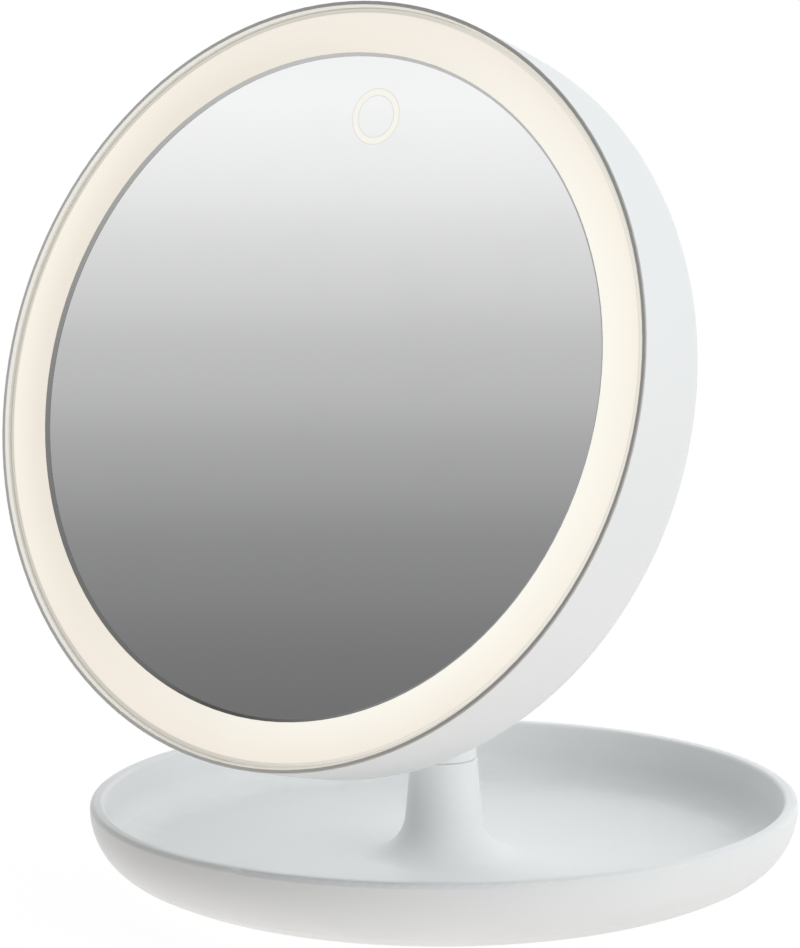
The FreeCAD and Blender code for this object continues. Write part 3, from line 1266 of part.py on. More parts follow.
# Friction washers: one between the tongue and each ear.
friction_washers = new_body("friction_washers")
for side in (-1, 1):
    inner_face = side * (slot_half - k.friction_thickness)
    sketch = new_sketch(friction_washers, "YZ_Plane", inner_face)
    draw_circle(sketch, pivot_depth, 0, k.friction_radius)
    draw_circle(sketch, pivot_depth, 0, axle_bore)
    extrude(friction_washers, "Pad", sketch, k.friction_thickness, backward=side < 0)
into_head(friction_washers)

# End caps: slightly bulged discs that close the holes over the axle's ends.
hinge_caps = new_body("hinge_caps")
cap_curve = (k.cap_radius * k.cap_radius + k.cap_bulge * k.cap_bulge) / (2 * k.cap_bulge)
cap_inner_x = ear_face - k.cap_height
for side in (-1, 1):
    sketch = new_sketch(hinge_caps, "XY_Plane")
    draw_loop(sketch, [
        (side * cap_inner_x, pivot_depth),
        (side * (ear_face + k.cap_bulge), pivot_depth),
        (side * ear_face, pivot_depth + k.cap_radius, side * cap_curve),
        (side * cap_inner_x, pivot_depth + k.cap_radius),
    ])
    draw_axis(sketch, (0, pivot_depth), (ear_face, pivot_depth))
    turn_shape(hinge_caps, "Revolution", sketch, "Axis0")
into_head(hinge_caps)

# Every piece is checked before any file is written.
doc.recompute()
faults = []
for thing in doc.Objects:
    if "Invalid" in thing.State or "Error" in thing.State:
        faults.append(f"{thing.Label}: {thing.State}")
for body in pieces:
    if body.Shape.isNull() or not body.Shape.isValid() or not body.Shape.Solids:
        faults.append(f"{body.Label}: no valid solid")
if faults:
    raise RuntimeError("; ".join(faults))
os.makedirs("parts", exist_ok=True)
for body in pieces:
    body.Shape.exportStep(f"parts/{body.Label}.step")
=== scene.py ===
import bpy
import math
from mathutils import Matrix, Vector

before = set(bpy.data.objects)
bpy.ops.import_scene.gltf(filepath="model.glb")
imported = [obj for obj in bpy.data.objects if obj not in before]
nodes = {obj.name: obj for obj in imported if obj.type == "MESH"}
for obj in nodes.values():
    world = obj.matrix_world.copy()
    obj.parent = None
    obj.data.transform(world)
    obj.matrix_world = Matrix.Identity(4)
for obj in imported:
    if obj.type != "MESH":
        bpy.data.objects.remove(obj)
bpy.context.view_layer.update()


# Base cover: the shallow white dish that closes the tray from below.
# Injection moulded plastic with a fine satin texture from the tool, held by four screws.
def bare_material(name):
    material = bpy.data.materials.new(name)
    material.use_nodes = True
    tree = material.node_tree
    tree.nodes.clear()
    output = tree.nodes.new("ShaderNodeOutputMaterial")
    return material, tree, output.inputs["Surface"]


def new_material(name):
    material, tree, surface = bare_material(name)
    shader = tree.nodes.new("ShaderNodeBsdfPrincipled")
    tree.links.new(shader.outputs["BSDF"], surface)
    return material, tree, shader


def dress(node_name, material):
    piece = nodes[node_name]
    piece.data.materials.clear()
    piece.data.materials.append(material)


def add_node(tree, kind, **settings):
    node = tree.nodes.new(kind)
    for name, value in settings.items():
        setattr(node, name, value)
    return node


def feed(tree, socket, source):
    """Gives a socket a colour, a number or a link."""
    if isinstance(source, tuple):
        socket.default_value = (*source, 1.0)
    elif isinstance(source, (int, float)):
        socket.default_value = source
    else:
        tree.links.new(source, socket)


def object_place(tree):
    return add_node(tree, "ShaderNodeTexCoord").outputs["Object"]


def calculate(tree, operation, first, second=None, third=None, clamp=False):
    node = add_node(tree, "ShaderNodeMath", operation=operation, use_clamp=clamp)
    for socket, source in zip(node.inputs, (first, second, third)):
        if source is not None:
            feed(tree, socket, source)
    return node.outputs[0]


def blend_colours(tree, share, first, second):
    node = add_node(tree, "ShaderNodeMix", data_type="RGBA")
    feed(tree, node.inputs["Factor"], share)
    feed(tree, node.inputs["A"], first)
    feed(tree, node.inputs["B"], second)
    return node.outputs["Result"]


def noise(tree, coordinates, scale, detail=3.0, roughness=0.5):
    node = add_node(tree, "ShaderNodeTexNoise")
    tree.links.new(coordinates, node.inputs["Vector"])
    node.inputs["Scale"].default_value = scale
    node.inputs["Detail"].default_value = detail
    node.inputs["Roughness"].default_value = roughness
    return node.outputs["Fac"]


def smooth_step(tree, value, low, high, bottom=0.0, top=1.0):
    node = add_node(tree, "ShaderNodeMapRange", interpolation_type="SMOOTHSTEP")
    tree.links.new(value, node.inputs["Value"])
    node.inputs["From Min"].default_value = low
    node.inputs["From Max"].default_value = high
    node.inputs["To Min"].default_value = bottom
    node.inputs["To Max"].default_value = top
    return node.outputs["Result"]


def vary(tree, pattern, least=0.0, most=1.0):
    """Spreads the middle of a noise pattern between two values."""
    pattern_low, pattern_high = 0.3, 0.7
    return smooth_step(tree, pattern, pattern_low, pattern_high, least, most)


def bump(tree, shader, height, strength, distance):
    node = add_node(tree, "ShaderNodeBump")
    node.inputs["Strength"].default_value = strength
    node.inputs["Distance"].default_value = distance
    tree.links.new(height, node.inputs["Height"])
    tree.links.new(node.outputs["Normal"], shader.inputs["Normal"])


moulded_skin = bpy.data.node_groups.new("moulded_skin", "ShaderNodeTree")
for label, kind in (("Light Tone", "NodeSocketColor"), ("Deep Tone", "NodeSocketColor"),
                    ("Grain Scale", "NodeSocketFloat"), ("Satin", "NodeSocketFloat")):
    moulded_skin.interface.new_socket(label, in_out="INPUT", socket_type=kind)
for label, kind in (("Colour", "NodeSocketColor"), ("Roughness", "NodeSocketFloat"),
                    ("Grain", "NodeSocketFloat")):
    moulded_skin.interface.new_socket(label, in_out="OUTPUT", socket_type=kind)
given = add_node(moulded_skin, "NodeGroupInput")
result = add_node(moulded_skin, "NodeGroupOutput")
place = object_place(moulded_skin)
flow = noise(moulded_skin, place, 14.0, 2.0)
handling = noise(moulded_skin, place, 60.0, 4.0, 0.6)
grain_cells = add_node(moulded_skin, "ShaderNodeTexVoronoi", feature="SMOOTH_F1")
moulded_skin.links.new(place, grain_cells.inputs["Vector"])
moulded_skin.links.new(given.outputs["Grain Scale"], grain_cells.inputs["Scale"])
grain_cells.inputs["Smoothness"].default_value = 0.6
skin_tone = blend_colours(moulded_skin, vary(moulded_skin, flow),
                          given.outputs["Light Tone"], given.outputs["Deep Tone"])
moulded_skin.links.new(skin_tone, result.inputs["Colour"])
rubbed = smooth_step(moulded_skin, handling, 0.35, 0.75, -0.04, 0.05)
skin_satin = calculate(moulded_skin, "ADD", rubbed, given.outputs["Satin"], clamp=True)
moulded_skin.links.new(skin_satin, result.inputs["Roughness"])
moulded_skin.links.new(grain_cells.outputs["Distance"], result.inputs["Grain"])


def white_moulding(name, light_tone, deep_tone, satin, grain_scale, relief):
    grain_depth = 0.00004
    material, tree, shader = new_material(name)
    skin = add_node(tree, "ShaderNodeGroup", node_tree=moulded_skin)
    feed(tree, skin.inputs["Light Tone"], light_tone)
    feed(tree, skin.inputs["Deep Tone"], deep_tone)
    feed(tree, skin.inputs["Grain Scale"], grain_scale)
    feed(tree, skin.inputs["Satin"], satin)
    tree.links.new(skin.outputs["Colour"], shader.inputs["Base Color"])
    tree.links.new(skin.outputs["Roughness"], shader.inputs["Roughness"])
    bump(tree, shader, skin.outputs["Grain"], relief, grain_depth)
    shader.inputs["IOR"].default_value = 1.47
    shader.inputs["Specular IOR Level"].default_value = 0.12
    return material, tree, shader, skin


cover_white = white_moulding("cover_white", (0.845, 0.845, 0.845), (0.83, 0.83, 0.832),
                             satin=0.46, grain_scale=3200.0, relief=0.25)[0]
dress("base_cover", cover_white)


# Ballast disc, screws, washer, nuts, spindle and axle: turned and stamped steel.
# Bare metal with fine turning marks and a slightly oily, uneven sheen.
def mottled_material(name, scale, detail, fineness, tones, roughness, metallic=0.0):
    """A finish whose colour and gloss follow one noise pattern."""
    material, tree, shader = new_material(name)
    pattern = noise(tree, object_place(tree), scale, detail, fineness)
    feed(tree, shader.inputs["Base Color"], blend_colours(tree, pattern, *tones))
    feed(tree, shader.inputs["Roughness"], vary(tree, pattern, *roughness))
    shader.inputs["Metallic"].default_value = metallic
    return material, tree, shader, pattern


turned_steel, tree, shader = mottled_material(
    "turned_steel", 90.0, 4.0, 0.5, tones=((0.50, 0.50, 0.51), (0.62, 0.62, 0.63)),
    roughness=(0.28, 0.42), metallic=1.0)[:3]
marks = add_node(tree, "ShaderNodeTexWave", wave_type="RINGS", rings_direction="Z")
tree.links.new(object_place(tree), marks.inputs["Vector"])
marks.inputs["Scale"].default_value = 420.0
marks.inputs["Distortion"].default_value = 1.2
marks.inputs["Detail"].default_value = 2.0
bump(tree, shader, marks.outputs["Fac"], strength=0.15, distance=0.00005)
for name in ("ballast_disc", "base_screws", "swivel_washer", "swivel_nut", "stem_spigot",
             "hinge_bolt", "hinge_nut", "yoke_screws", "carrier_screws", "board_screws"):
    dress(name, turned_steel)


# Foot pad: a soft grey ring stuck into the cover's recess, the only part that touches the table.
# Matte rubber with a fine pebbled face and a little picked-up dust.
rubber_tone, dusty_tone = (0.55, 0.55, 0.55), (0.63, 0.62, 0.60)
foot_rubber, tree, shader = new_material("foot_rubber")
place = object_place(tree)
pebble = noise(tree, place, 1500.0, 2.0)
dust = smooth_step(tree, noise(tree, place, 45.0, 5.0, 0.65), 0.5, 0.75)
feed(tree, shader.inputs["Base Color"], blend_colours(tree, dust, rubber_tone, dusty_tone))
feed(tree, shader.inputs["Roughness"], vary(tree, pebble, 0.75, 0.9))
bump(tree, shader, pebble, strength=0.5, distance=0.0001)
dress("foot_pad", foot_rubber)


# Tray shell: the dished white tray with its rounded rim and the flared pillar, one moulding.
# Satin plastic; the rim is handled and a touch glossier, and the floor's corner is a little darker
# in faint patches.
def length_of(tree, first, second):
    squares = [calculate(tree, "MULTIPLY", side, side) for side in (first, second)]
    return calculate(tree, "SQRT", calculate(tree, "ADD", *squares))


floor_edge, wall_foot = 0.080, 0.090
corner_top, corner_full = 0.0168, 0.0128
rim_low, rim_high = 0.0245, 0.0282
rim_inside, rim_full = 0.095, 0.102
corner_tone, corner_share = (0.74, 0.74, 0.73), 0.25
rim_polish = -0.08
tray_white, tree, shader, skin = white_moulding(
    "tray_white", (0.845, 0.85, 0.85), (0.83, 0.836, 0.838),
    satin=0.40, grain_scale=3000.0, relief=0.22)
place = object_place(tree)
axes = add_node(tree, "ShaderNodeSeparateXYZ")
tree.links.new(place, axes.inputs["Vector"])
from_axis = length_of(tree, axes.outputs["X"], axes.outputs["Y"])
# The floor is made a little darker in faint patches where it meets the wall.
corner_ring = calculate(tree, "MULTIPLY", smooth_step(tree, from_axis, floor_edge, wall_foot),
                        smooth_step(tree, axes.outputs["Z"], corner_top, corner_full))
specks = smooth_step(tree, noise(tree, place, 70.0, 5.0, 0.65), 0.35, 0.7)
corner_patches = calculate(tree, "MULTIPLY", calculate(tree, "MULTIPLY", corner_ring, specks), corner_share)
feed(tree, shader.inputs["Base Color"],
     blend_colours(tree, corner_patches, skin.outputs["Colour"], corner_tone))
rim_gloss = calculate(tree, "MULTIPLY", smooth_step(tree, axes.outputs["Z"], rim_low, rim_high),
                      smooth_step(tree, from_axis, rim_inside, rim_full))
feed(tree, shader.inputs["Roughness"],
     calculate(tree, "MULTIPLY_ADD", rim_gloss, rim_polish, skin.outputs["Roughness"], clamp=True))
dress("tray_shell", tray_white)


# Swivel bush and friction washers: bearing plastic in its natural milky colour.
# The bush's collar is the thin line between the pillar and the stem.
bearing_plastic = mottled_material(
    "bearing_plastic", 180.0, 3.0, 0.5, tones=((0.76, 0.77, 0.77), (0.82, 0.83, 0.83)),
    roughness=(0.38, 0.5))[0]
dress("swivel_bush", bearing_plastic)
dress("friction_washers", bearing_plastic)


# Stem tube: the white tube above the parting line, painted to match the tray.
# Smooth satin paint over a drawn tube, finer and flatter than the tray's moulded texture.
stem_white = white_moulding("stem_white", (0.845, 0.85, 0.85), (0.832, 0.838, 0.84),
                            satin=0.38, grain_scale=2600.0, relief=0.12)[0]
dress("stem_tube", stem_white)


# Hinge knuckle: the cast metal end of the stem, with the flat tongue that the axle goes through.
# Tumbled die casting: soft satin metal with a faint mottled skin.
cast_metal, tree, shader, mottle = mottled_material(
    "cast_metal", 320.0, 5.0, 0.62, tones=((0.60, 0.60, 0.61), (0.70, 0.70, 0.71)),
    roughness=(0.34, 0.48), metallic=1.0)
bump(tree, shader, mottle, strength=0.2, distance=0.00006)
dress("hinge_knuckle", cast_metal)


# Rear housing, hinge yoke and end caps: the white drum behind the mirror and the hinge on its back.
# Satin moulded plastic, a little cooler than the tray, with the same tool texture.
housing_white = white_moulding("housing_white", (0.845, 0.852, 0.852), (0.832, 0.84, 0.841),
                               satin=0.42, grain_scale=3000.0, relief=0.22)[0]
dress("rear_housing", housing_white)
hinge_white = white_moulding("hinge_white", (0.83, 0.838, 0.84), (0.815, 0.824, 0.827),
                             satin=0.36, grain_scale=2600.0, relief=0.2)[0]
dress("hinge_yoke", hinge_white)
dress("hinge_caps", hinge_white)


# Charging socket: the stamped metal shell of the inlet, bright nickel with a worn mouth.
# It stands on the main board and shows only in its opening at the back.
nickel = mottled_material(
    "nickel", 700.0, 4.0, 0.6, tones=((0.56, 0.55, 0.53), (0.72, 0.71, 0.69)),
    roughness=(0.2, 0.38), metallic=1.0)[0]
dress("charge_socket", nickel)


# Carrier plate: the white inner frame with the light channel, screwed to the housing's posts.
# Moulded in a bright reflective plastic and hidden behind the glass and the diffuser.
frame_white = white_moulding("frame_white", (0.88, 0.88, 0.87), (0.86, 0.86, 0.85),
                             satin=0.5, grain_scale=2200.0, relief=0.2)[0]
dress("carrier_plate", frame_white)


# Circuit boards: the light ring's board, the touch board and the main board.
# Glass fibre laminate under green solder mask, with faint copper tracks below it.
mask_green, track_green = (0.012, 0.075, 0.028), (0.03, 0.13, 0.045)
black, white = (0.0, 0.0, 0.0), (1.0, 1.0, 1.0)
solder_mask, tree, shader = new_material("solder_mask")
place = object_place(tree)
tracks = add_node(tree, "ShaderNodeTexBrick", offset=0.37, squash=1.0)
tree.links.new(place, tracks.inputs["Vector"])
tracks.inputs["Scale"].default_value = 190.0
tracks.inputs["Mortar Size"].default_value = 0.035
for label, tone in (("Color1", black), ("Color2", black), ("Mortar", white)):
    feed(tree, tracks.inputs[label], tone)
feed(tree, shader.inputs["Base Color"],
     blend_colours(tree, tracks.outputs["Color"], mask_green, track_green))
feed(tree, shader.inputs["Roughness"], vary(tree, noise(tree, place, 400.0), 0.25, 0.36))
bump(tree, shader, tracks.outputs["Color"], strength=0.2, distance=0.00005)
for name in ("led_board", "touch_board", "main_board"):
    dress(name, solder_mask)


# Board components: chip, choke and cable headers in black moulding compound.
# Fine grained and matte, soldered to the main board.
component_black, tree, shader, compound = mottled_material(
    "component_black", 2400.0, 2.0, 0.5, tones=((0.012, 0.012, 0.013), (0.03, 0.03, 0.032)),
    roughness=(0.5, 0.65))
bump(tree, shader, compound, strength=0.3, distance=0.00003)
dress("board_chips", component_black)


# Light sources: small blocks with a yellow phosphor face, lit.
# They are soldered to the ring board and shine through the opal diffuser.
phosphor, tree, shader = new_material("phosphor")
specks = noise(tree, object_place(tree), 3000.0, 2.0)
feed(tree, shader.inputs["Base Color"],
     blend_colours(tree, specks, (0.75, 0.58, 0.16), (0.85, 0.70, 0.28)))
feed(tree, shader.inputs["Emission Color"],
     blend_colours(tree, specks, (1.0, 0.84, 0.62), (1.0, 0.90, 0.72)))
shader.inputs["Emission Strength"].default_value = 1.0
shader.inputs["Roughness"].default_value = 0.6
dress("leds", phosphor)


# Battery pack and its tape: a flat cell in grey-blue shrink wrap, stuck on with dark foam tape.
# The wrap is slightly wrinkled; the foam, which also holds the glass, is open celled and matte.
battery_wrap, tree, shader, wrinkle = mottled_material(
    "battery_wrap", 130.0, 4.0, 0.6, tones=((0.22, 0.26, 0.32), (0.28, 0.32, 0.38)),
    roughness=(0.25, 0.4))
bump(tree, shader, wrinkle, strength=0.4, distance=0.0003)
dress("battery_pack", battery_wrap)
foam_tape, tree, shader = new_material("foam_tape")
cells = add_node(tree, "ShaderNodeTexVoronoi", feature="F1")
tree.links.new(object_place(tree), cells.inputs["Vector"])
cells.inputs["Scale"].default_value = 1800.0
feed(tree, shader.inputs["Base Color"],
     blend_colours(tree, cells.outputs["Distance"], (0.03, 0.03, 0.03), (0.08, 0.08, 0.08)))
shader.inputs["Roughness"].default_value = 0.95
bump(tree, shader, cells.outputs["Distance"], strength=0.6, distance=0.0002)
for name in ("battery_pad", "mirror_pad"):
    dress(name, foam_tape)


# Touch light guide: a clear ring that carries light from the touch board to the glass.
# Polished acrylic with a faint frosted flow.
clear_guide, tree, shader = new_material("clear_guide")
frost = noise(tree, object_place(tree), 260.0, 3.0)
feed(tree, shader.inputs["Roughness"], vary(tree, frost, 0.06, 0.16))
feed(tree, shader.inputs["Base Color"], (0.96, 0.98, 0.98))
shader.inputs["IOR"].default_value = 1.49
shader.inputs["Transmission Weight"].default_value = 1.0
dress("touch_light_guide", clear_guide)


# Diffuser ring: the lit opal ring round the glass, a snap-in moulding in cream opal acrylic.
# Painted light: its glow is lighter towards the right, where the room's light falls, and its tone
# drifts across the ring and round it. Its flange is painted duller, as shade under the trim's lip,
# and lighter towards the right, and a painted shadow line parts the flange from the trim.
mirror_centre = Vector((0.0, -0.06230, 0.16728))
mirror_lean = math.radians(19.6)
mirror_facing = Vector((0.0, -math.cos(mirror_lean), math.sin(mirror_lean)))
mirror_up = Vector((0.0, math.sin(mirror_lean), math.cos(mirror_lean)))
mirror_side = Vector((1.0, 0.0, 0.0))
ring_place = bpy.data.node_groups.new("ring_place", "ShaderNodeTree")
for label in ("Radius", "Depth", "Height", "Side"):
    ring_place.interface.new_socket(label, in_out="OUTPUT", socket_type="NodeSocketFloat")
result = add_node(ring_place, "NodeGroupOutput")
offset = add_node(ring_place, "ShaderNodeVectorMath", operation="SUBTRACT")
ring_place.links.new(object_place(ring_place), offset.inputs[0])
offset.inputs[1].default_value = mirror_centre
reach = {}
for label, direction in (("Depth", -mirror_facing), ("Height", mirror_up), ("Side", mirror_side)):
    along = add_node(ring_place, "ShaderNodeVectorMath", operation="DOT_PRODUCT")
    ring_place.links.new(offset.outputs["Vector"], along.inputs[0])
    along.inputs[1].default_value = direction
    reach[label] = along.outputs["Value"]
    ring_place.links.new(reach[label], result.inputs[label])
ring_place.links.new(length_of(ring_place, reach["Height"], reach["Side"]),
                     result.inputs["Radius"])


def ring_spot(tree):
    return add_node(tree, "ShaderNodeGroup", node_tree=ring_place).outputs


lit_inside, lit_outside = 0.1015, 0.1142
flange_edge, flange_full = 0.1135, 0.1138
gap_edge, gap_full = 0.1149, 0.1151
half_height = 0.1
inner_shaded_left, inner_lit_right = (0.635, 0.585, 0.515), (0.77, 0.75, 0.685)
outer_low, outer_high = (0.70, 0.64, 0.565), (0.705, 0.65, 0.585)
outer_sides = (0.74, 0.695, 0.615)
flange_shaded_left, flange_lit_right = (0.44, 0.425, 0.385), (0.56, 0.545, 0.505)
gap_shadow_tone = (0.29, 0.28, 0.25)
opal_light, tree, shader = mottled_material(
    "opal_light", 40.0, 3.0, 0.5, tones=((0.36, 0.345, 0.32), (0.40, 0.38, 0.35)),
    roughness=(0.34, 0.44))[:3]
spot = ring_spot(tree)
# Painted light: the inner glow is lighter towards the right, the outer glow towards the sides.
slanted = calculate(tree, "MULTIPLY_ADD", spot["Height"], -0.25, spot["Side"])
to_right = smooth_step(tree, slanted, -half_height, half_height)
to_top = smooth_step(tree, spot["Height"], -half_height, half_height)
to_sides = smooth_step(tree, calculate(tree, "ABSOLUTE", spot["Side"]), 0.06, 0.11)
inner_glow = blend_colours(tree, to_right, inner_shaded_left, inner_lit_right)
outer_glow = blend_colours(tree, to_top, outer_low, outer_high)
outer_glow = blend_colours(tree, to_sides, outer_glow, outer_sides)
# Painted shade: the flange is duller than the lit face, and painted lighter towards the right.
flange_glow = blend_colours(tree, smooth_step(tree, spot["Side"], -0.03, 0.09),
                            flange_shaded_left, flange_lit_right)
glow = blend_colours(tree, smooth_step(tree, spot["Radius"], lit_inside, lit_outside),
                     inner_glow, outer_glow)
glow = blend_colours(tree, smooth_step(tree, spot["Radius"], flange_edge, flange_full),
                     glow, flange_glow)
# Painted shadow: a dark line at the flange's outer edge stands for the gap to the trim.
glow = blend_colours(tree, smooth_step(tree, spot["Radius"], gap_edge, gap_full), glow, gap_shadow_tone)
feed(tree, shader.inputs["Emission Color"], glow)
shader.inputs["Emission Strength"].default_value = 1.0
dress("diffuser_ring", opal_light)


# Mirror gasket: the thin grey ring with a bevelled lip that holds the glass.
# Elastomer with a metallic grey, semi-gloss skin, with painted shade by height: dark towards the
# bottom of the ring and pale towards the top.
lip_shaded, lip_lit, mark_tone = (0.15, 0.15, 0.146), (0.57, 0.57, 0.565), (0.36, 0.36, 0.355)
mark_share = 0.08
gasket_grey, tree, shader = new_material("gasket_grey")
skin_marks = noise(tree, object_place(tree), 900.0, 3.0)
# Painted shade: the lip is darker towards the bottom of the ring and paler towards the top.
upward = calculate(tree, "MULTIPLY_ADD", ring_spot(tree)["Height"], 0.5 / half_height, 0.5,
                   clamp=True)
lip_tone = blend_colours(tree, calculate(tree, "MULTIPLY", upward, upward), lip_shaded, lip_lit)
feed(tree, shader.inputs["Base Color"],
     blend_colours(tree, calculate(tree, "MULTIPLY", skin_marks, mark_share), lip_tone, mark_tone))
feed(tree, shader.inputs["Roughness"], vary(tree, skin_marks, 0.26, 0.30))
shader.inputs["Metallic"].default_value = 0.9
dress("mirror_gasket", gasket_grey)


# Mirror glass: a round pane, silvered, with a ground edge.
# A clean mirror with the faintest film of dust and wiping haze on it.
ground_edge, ground_full = 0.10048, 0.10056
clean_silver, hazy_silver = (0.93, 0.935, 0.935), (0.915, 0.92, 0.92)
ground_tone, ground_roughness = (0.62, 0.63, 0.63), 0.2
silvered_glass, tree, shader = new_material("silvered_glass")
film = smooth_step(tree, noise(tree, object_place(tree), 28.0, 5.0, 0.65), 0.45, 0.8)
ground = smooth_step(tree, ring_spot(tree)["Radius"], ground_edge, ground_full)
silver = blend_colours(tree, film, clean_silver, hazy_silver)
feed(tree, shader.inputs["Base Color"], blend_colours(tree, ground, silver, ground_tone))
feed(tree, shader.inputs["Roughness"],
     calculate(tree, "MULTIPLY_ADD", ground, ground_roughness,
               smooth_step(tree, film, 0.0, 1.0, 0.012, 0.03)))
shader.inputs["Metallic"].default_value = 1.0
dress("mirror_glass", silvered_glass)


# Touch ring window: the frosted ring let into the glass, lit from behind in cream.
# Its two edges are etched lines and a little greyer.
touch_height = 0.0825
outer_etch, outer_edge = 0.00825, 0.00848
inner_etch, inner_edge = 0.0067, 0.00647
touch_light, tree, shader = new_material("touch_light")
spot = ring_spot(tree)
from_middle = length_of(tree, calculate(tree, "SUBTRACT", spot["Height"], touch_height),
                        spot["Side"])
etched = calculate(tree, "MAXIMUM", smooth_step(tree, from_middle, outer_etch, outer_edge),
                   smooth_step(tree, from_middle, inner_etch, inner_edge))
feed(tree, shader.inputs["Emission Color"],
     blend_colours(tree, etched, (0.70, 0.685, 0.63), (0.57, 0.565, 0.54)))
shader.inputs["Emission Strength"].default_value = 1.0
feed(tree, shader.inputs["Base Color"],
     blend_colours(tree, etched, (0.42, 0.41, 0.39), (0.36, 0.35, 0.33)))
shader.inputs["Roughness"].default_value = 0.5
dress("touch_ring_window", touch_light)


# Trim ring: the thin satin grey ring round the front edge, pressed into the housing.
# Its flat front is brushed round the ring, and a soft painted highlight lightens its lower left
# side.
# The bevel next to the light ring is painted pale, as painted light from the ring falling on it.
bevel_edge, bevel_full = 0.11598, 0.1159
bevel_top, bevel_below = 0.00004, 0.00012
trim_dark, trim_painted_highlight, trim_brushed = (0.42, 0.415, 0.40), (0.74, 0.73, 0.71), (0.53, 0.52, 0.50)
bevel_painted_light = (0.88, 0.865, 0.82)
brush_lines_per_metre, brush_share = 9000.0, 0.5
front_metal, bevel_metal = 0.15, 0.55
satin_trim, tree, shader = new_material("satin_trim")
spot = ring_spot(tree)
brushed = add_node(tree, "ShaderNodeTexNoise", noise_dimensions="1D")
tree.links.new(calculate(tree, "MULTIPLY", spot["Radius"], brush_lines_per_metre),
               brushed.inputs["W"])
brushed.inputs["Scale"].default_value = 1.0
brushed.inputs["Detail"].default_value = 2.0
# Painted light: the inner bevel takes a pale tone for the ring's light falling on it.
bevel = calculate(tree, "MULTIPLY", smooth_step(tree, spot["Radius"], bevel_edge, bevel_full),
                  smooth_step(tree, spot["Depth"], bevel_top, bevel_below))
# Painted highlight: the front is lighter towards the lower left of the ring.
slanted = calculate(tree, "MULTIPLY_ADD", spot["Height"], 0.5, spot["Side"])
grey = blend_colours(tree, smooth_step(tree, slanted, 0.06, -0.1), trim_dark, trim_painted_highlight)
grey = blend_colours(tree, calculate(tree, "MULTIPLY", brushed.outputs["Fac"], brush_share),
                     grey, trim_brushed)
feed(tree, shader.inputs["Base Color"], blend_colours(tree, bevel, grey, bevel_painted_light))
feed(tree, shader.inputs["Metallic"],
     calculate(tree, "MULTIPLY_ADD", bevel, bevel_metal, front_metal))
feed(tree, shader.inputs["Roughness"], vary(tree, brushed.outputs["Fac"], 0.33, 0.42))
bump(tree, shader, brushed.outputs["Fac"], strength=0.08, distance=0.00002)
dress("trim_ring", satin_trim)


# Camera: a long lens at the photograph's angle, a little above the mirror and to its right.
# Its place, direction and roll were fitted to the outlines of the head and the tray.
lens_place = Vector((1.91427, -2.56053, 0.80119))
looking = Vector((-0.589155, 0.781437, -0.205555)).normalized()
roll = math.radians(-0.261)
camera_data = bpy.data.cameras.new("camera")
camera_data.sensor_width = 36.0
camera_data.lens = 409.2
camera_data.clip_start = 0.05
camera_data.clip_end = 60.0
camera = bpy.data.objects.new("camera", camera_data)
bpy.context.scene.collection.objects.link(camera)
turn = looking.to_track_quat("-Z", "Y").to_matrix().to_4x4() @ Matrix.Rotation(roll, 4, "Z")
camera.matrix_world = Matrix.Translation(lens_place) @ turn
bpy.context.scene.camera = camera


# Studio floor: a pale lit sheet under the mirror that keeps a faint contact shadow.
# White to the camera and to reflections, and clear from below. It lies just under the foot pad,
# so that the two faces don't share a plane.
def stage_sheet(name, size):
    half = size / 2
    mesh = bpy.data.meshes.new(name)
    mesh.from_pydata([(-half, -half, 0), (half, -half, 0), (half, half, 0), (-half, half, 0)],
                     [], [(0, 1, 2, 3)])
    sheet = bpy.data.objects.new(name, mesh)
    bpy.context.scene.collection.objects.link(sheet)
    return sheet


def seen_directly(tree):
    """1 for rays from the camera, from reflections and through glass."""
    path = add_node(tree, "ShaderNodeLightPath")
    seen = calculate(tree, "MAXIMUM", path.outputs["Is Camera Ray"], path.outputs["Is Glossy Ray"])
    return calculate(tree, "MAXIMUM", seen, path.outputs["Is Transmission Ray"])


def choose_shader(tree, share, first, second):
    node = add_node(tree, "ShaderNodeMixShader")
    tree.links.new(share, node.inputs["Fac"])
    tree.links.new(first, node.inputs[1])
    tree.links.new(second, node.inputs[2])
    return node.outputs["Shader"]


floor_size, floor_drop = 16.0, 0.0002
shown_white, paper_tone = 0.95, (0.07, 0.07, 0.07)
lit_tone, light_right, light_left = (1.0, 0.98, 0.955), 0.78, 1.02
fade_reach = 0.65
floor = stage_sheet("floor", floor_size)
floor.location.z = -floor_drop
floor_white, tree, surface = bare_material("floor_white")
paper = add_node(tree, "ShaderNodeBsdfDiffuse")
feed(tree, paper.inputs["Color"], paper_tone)
lit_paper = add_node(tree, "ShaderNodeEmission")
feed(tree, lit_paper.inputs["Color"], lit_tone)
axes = add_node(tree, "ShaderNodeSeparateXYZ")
tree.links.new(object_place(tree), axes.inputs["Vector"])
to_left = calculate(tree, "MULTIPLY_ADD", axes.outputs["X"], -2.0,
                    calculate(tree, "MULTIPLY", axes.outputs["Y"], -1.0))
tree.links.new(smooth_step(tree, to_left, -fade_reach, fade_reach, light_right, light_left),
               lit_paper.inputs["Strength"])
white_sheet = add_node(tree, "ShaderNodeEmission")
white_sheet.inputs["Strength"].default_value = shown_white
shown = add_node(tree, "ShaderNodeAddShader")
tree.links.new(paper.outputs["BSDF"], shown.inputs[0])
tree.links.new(white_sheet.outputs["Emission"], shown.inputs[1])
from_above = choose_shader(tree, seen_directly(tree), lit_paper.outputs["Emission"],
                           shown.outputs["Shader"])
underside = add_node(tree, "ShaderNodeNewGeometry").outputs["Backfacing"]
clear = add_node(tree, "ShaderNodeBsdfTransparent").outputs["BSDF"]
tree.links.new(choose_shader(tree, underside, from_above, clear), surface)
floor.data.materials.append(floor_white)


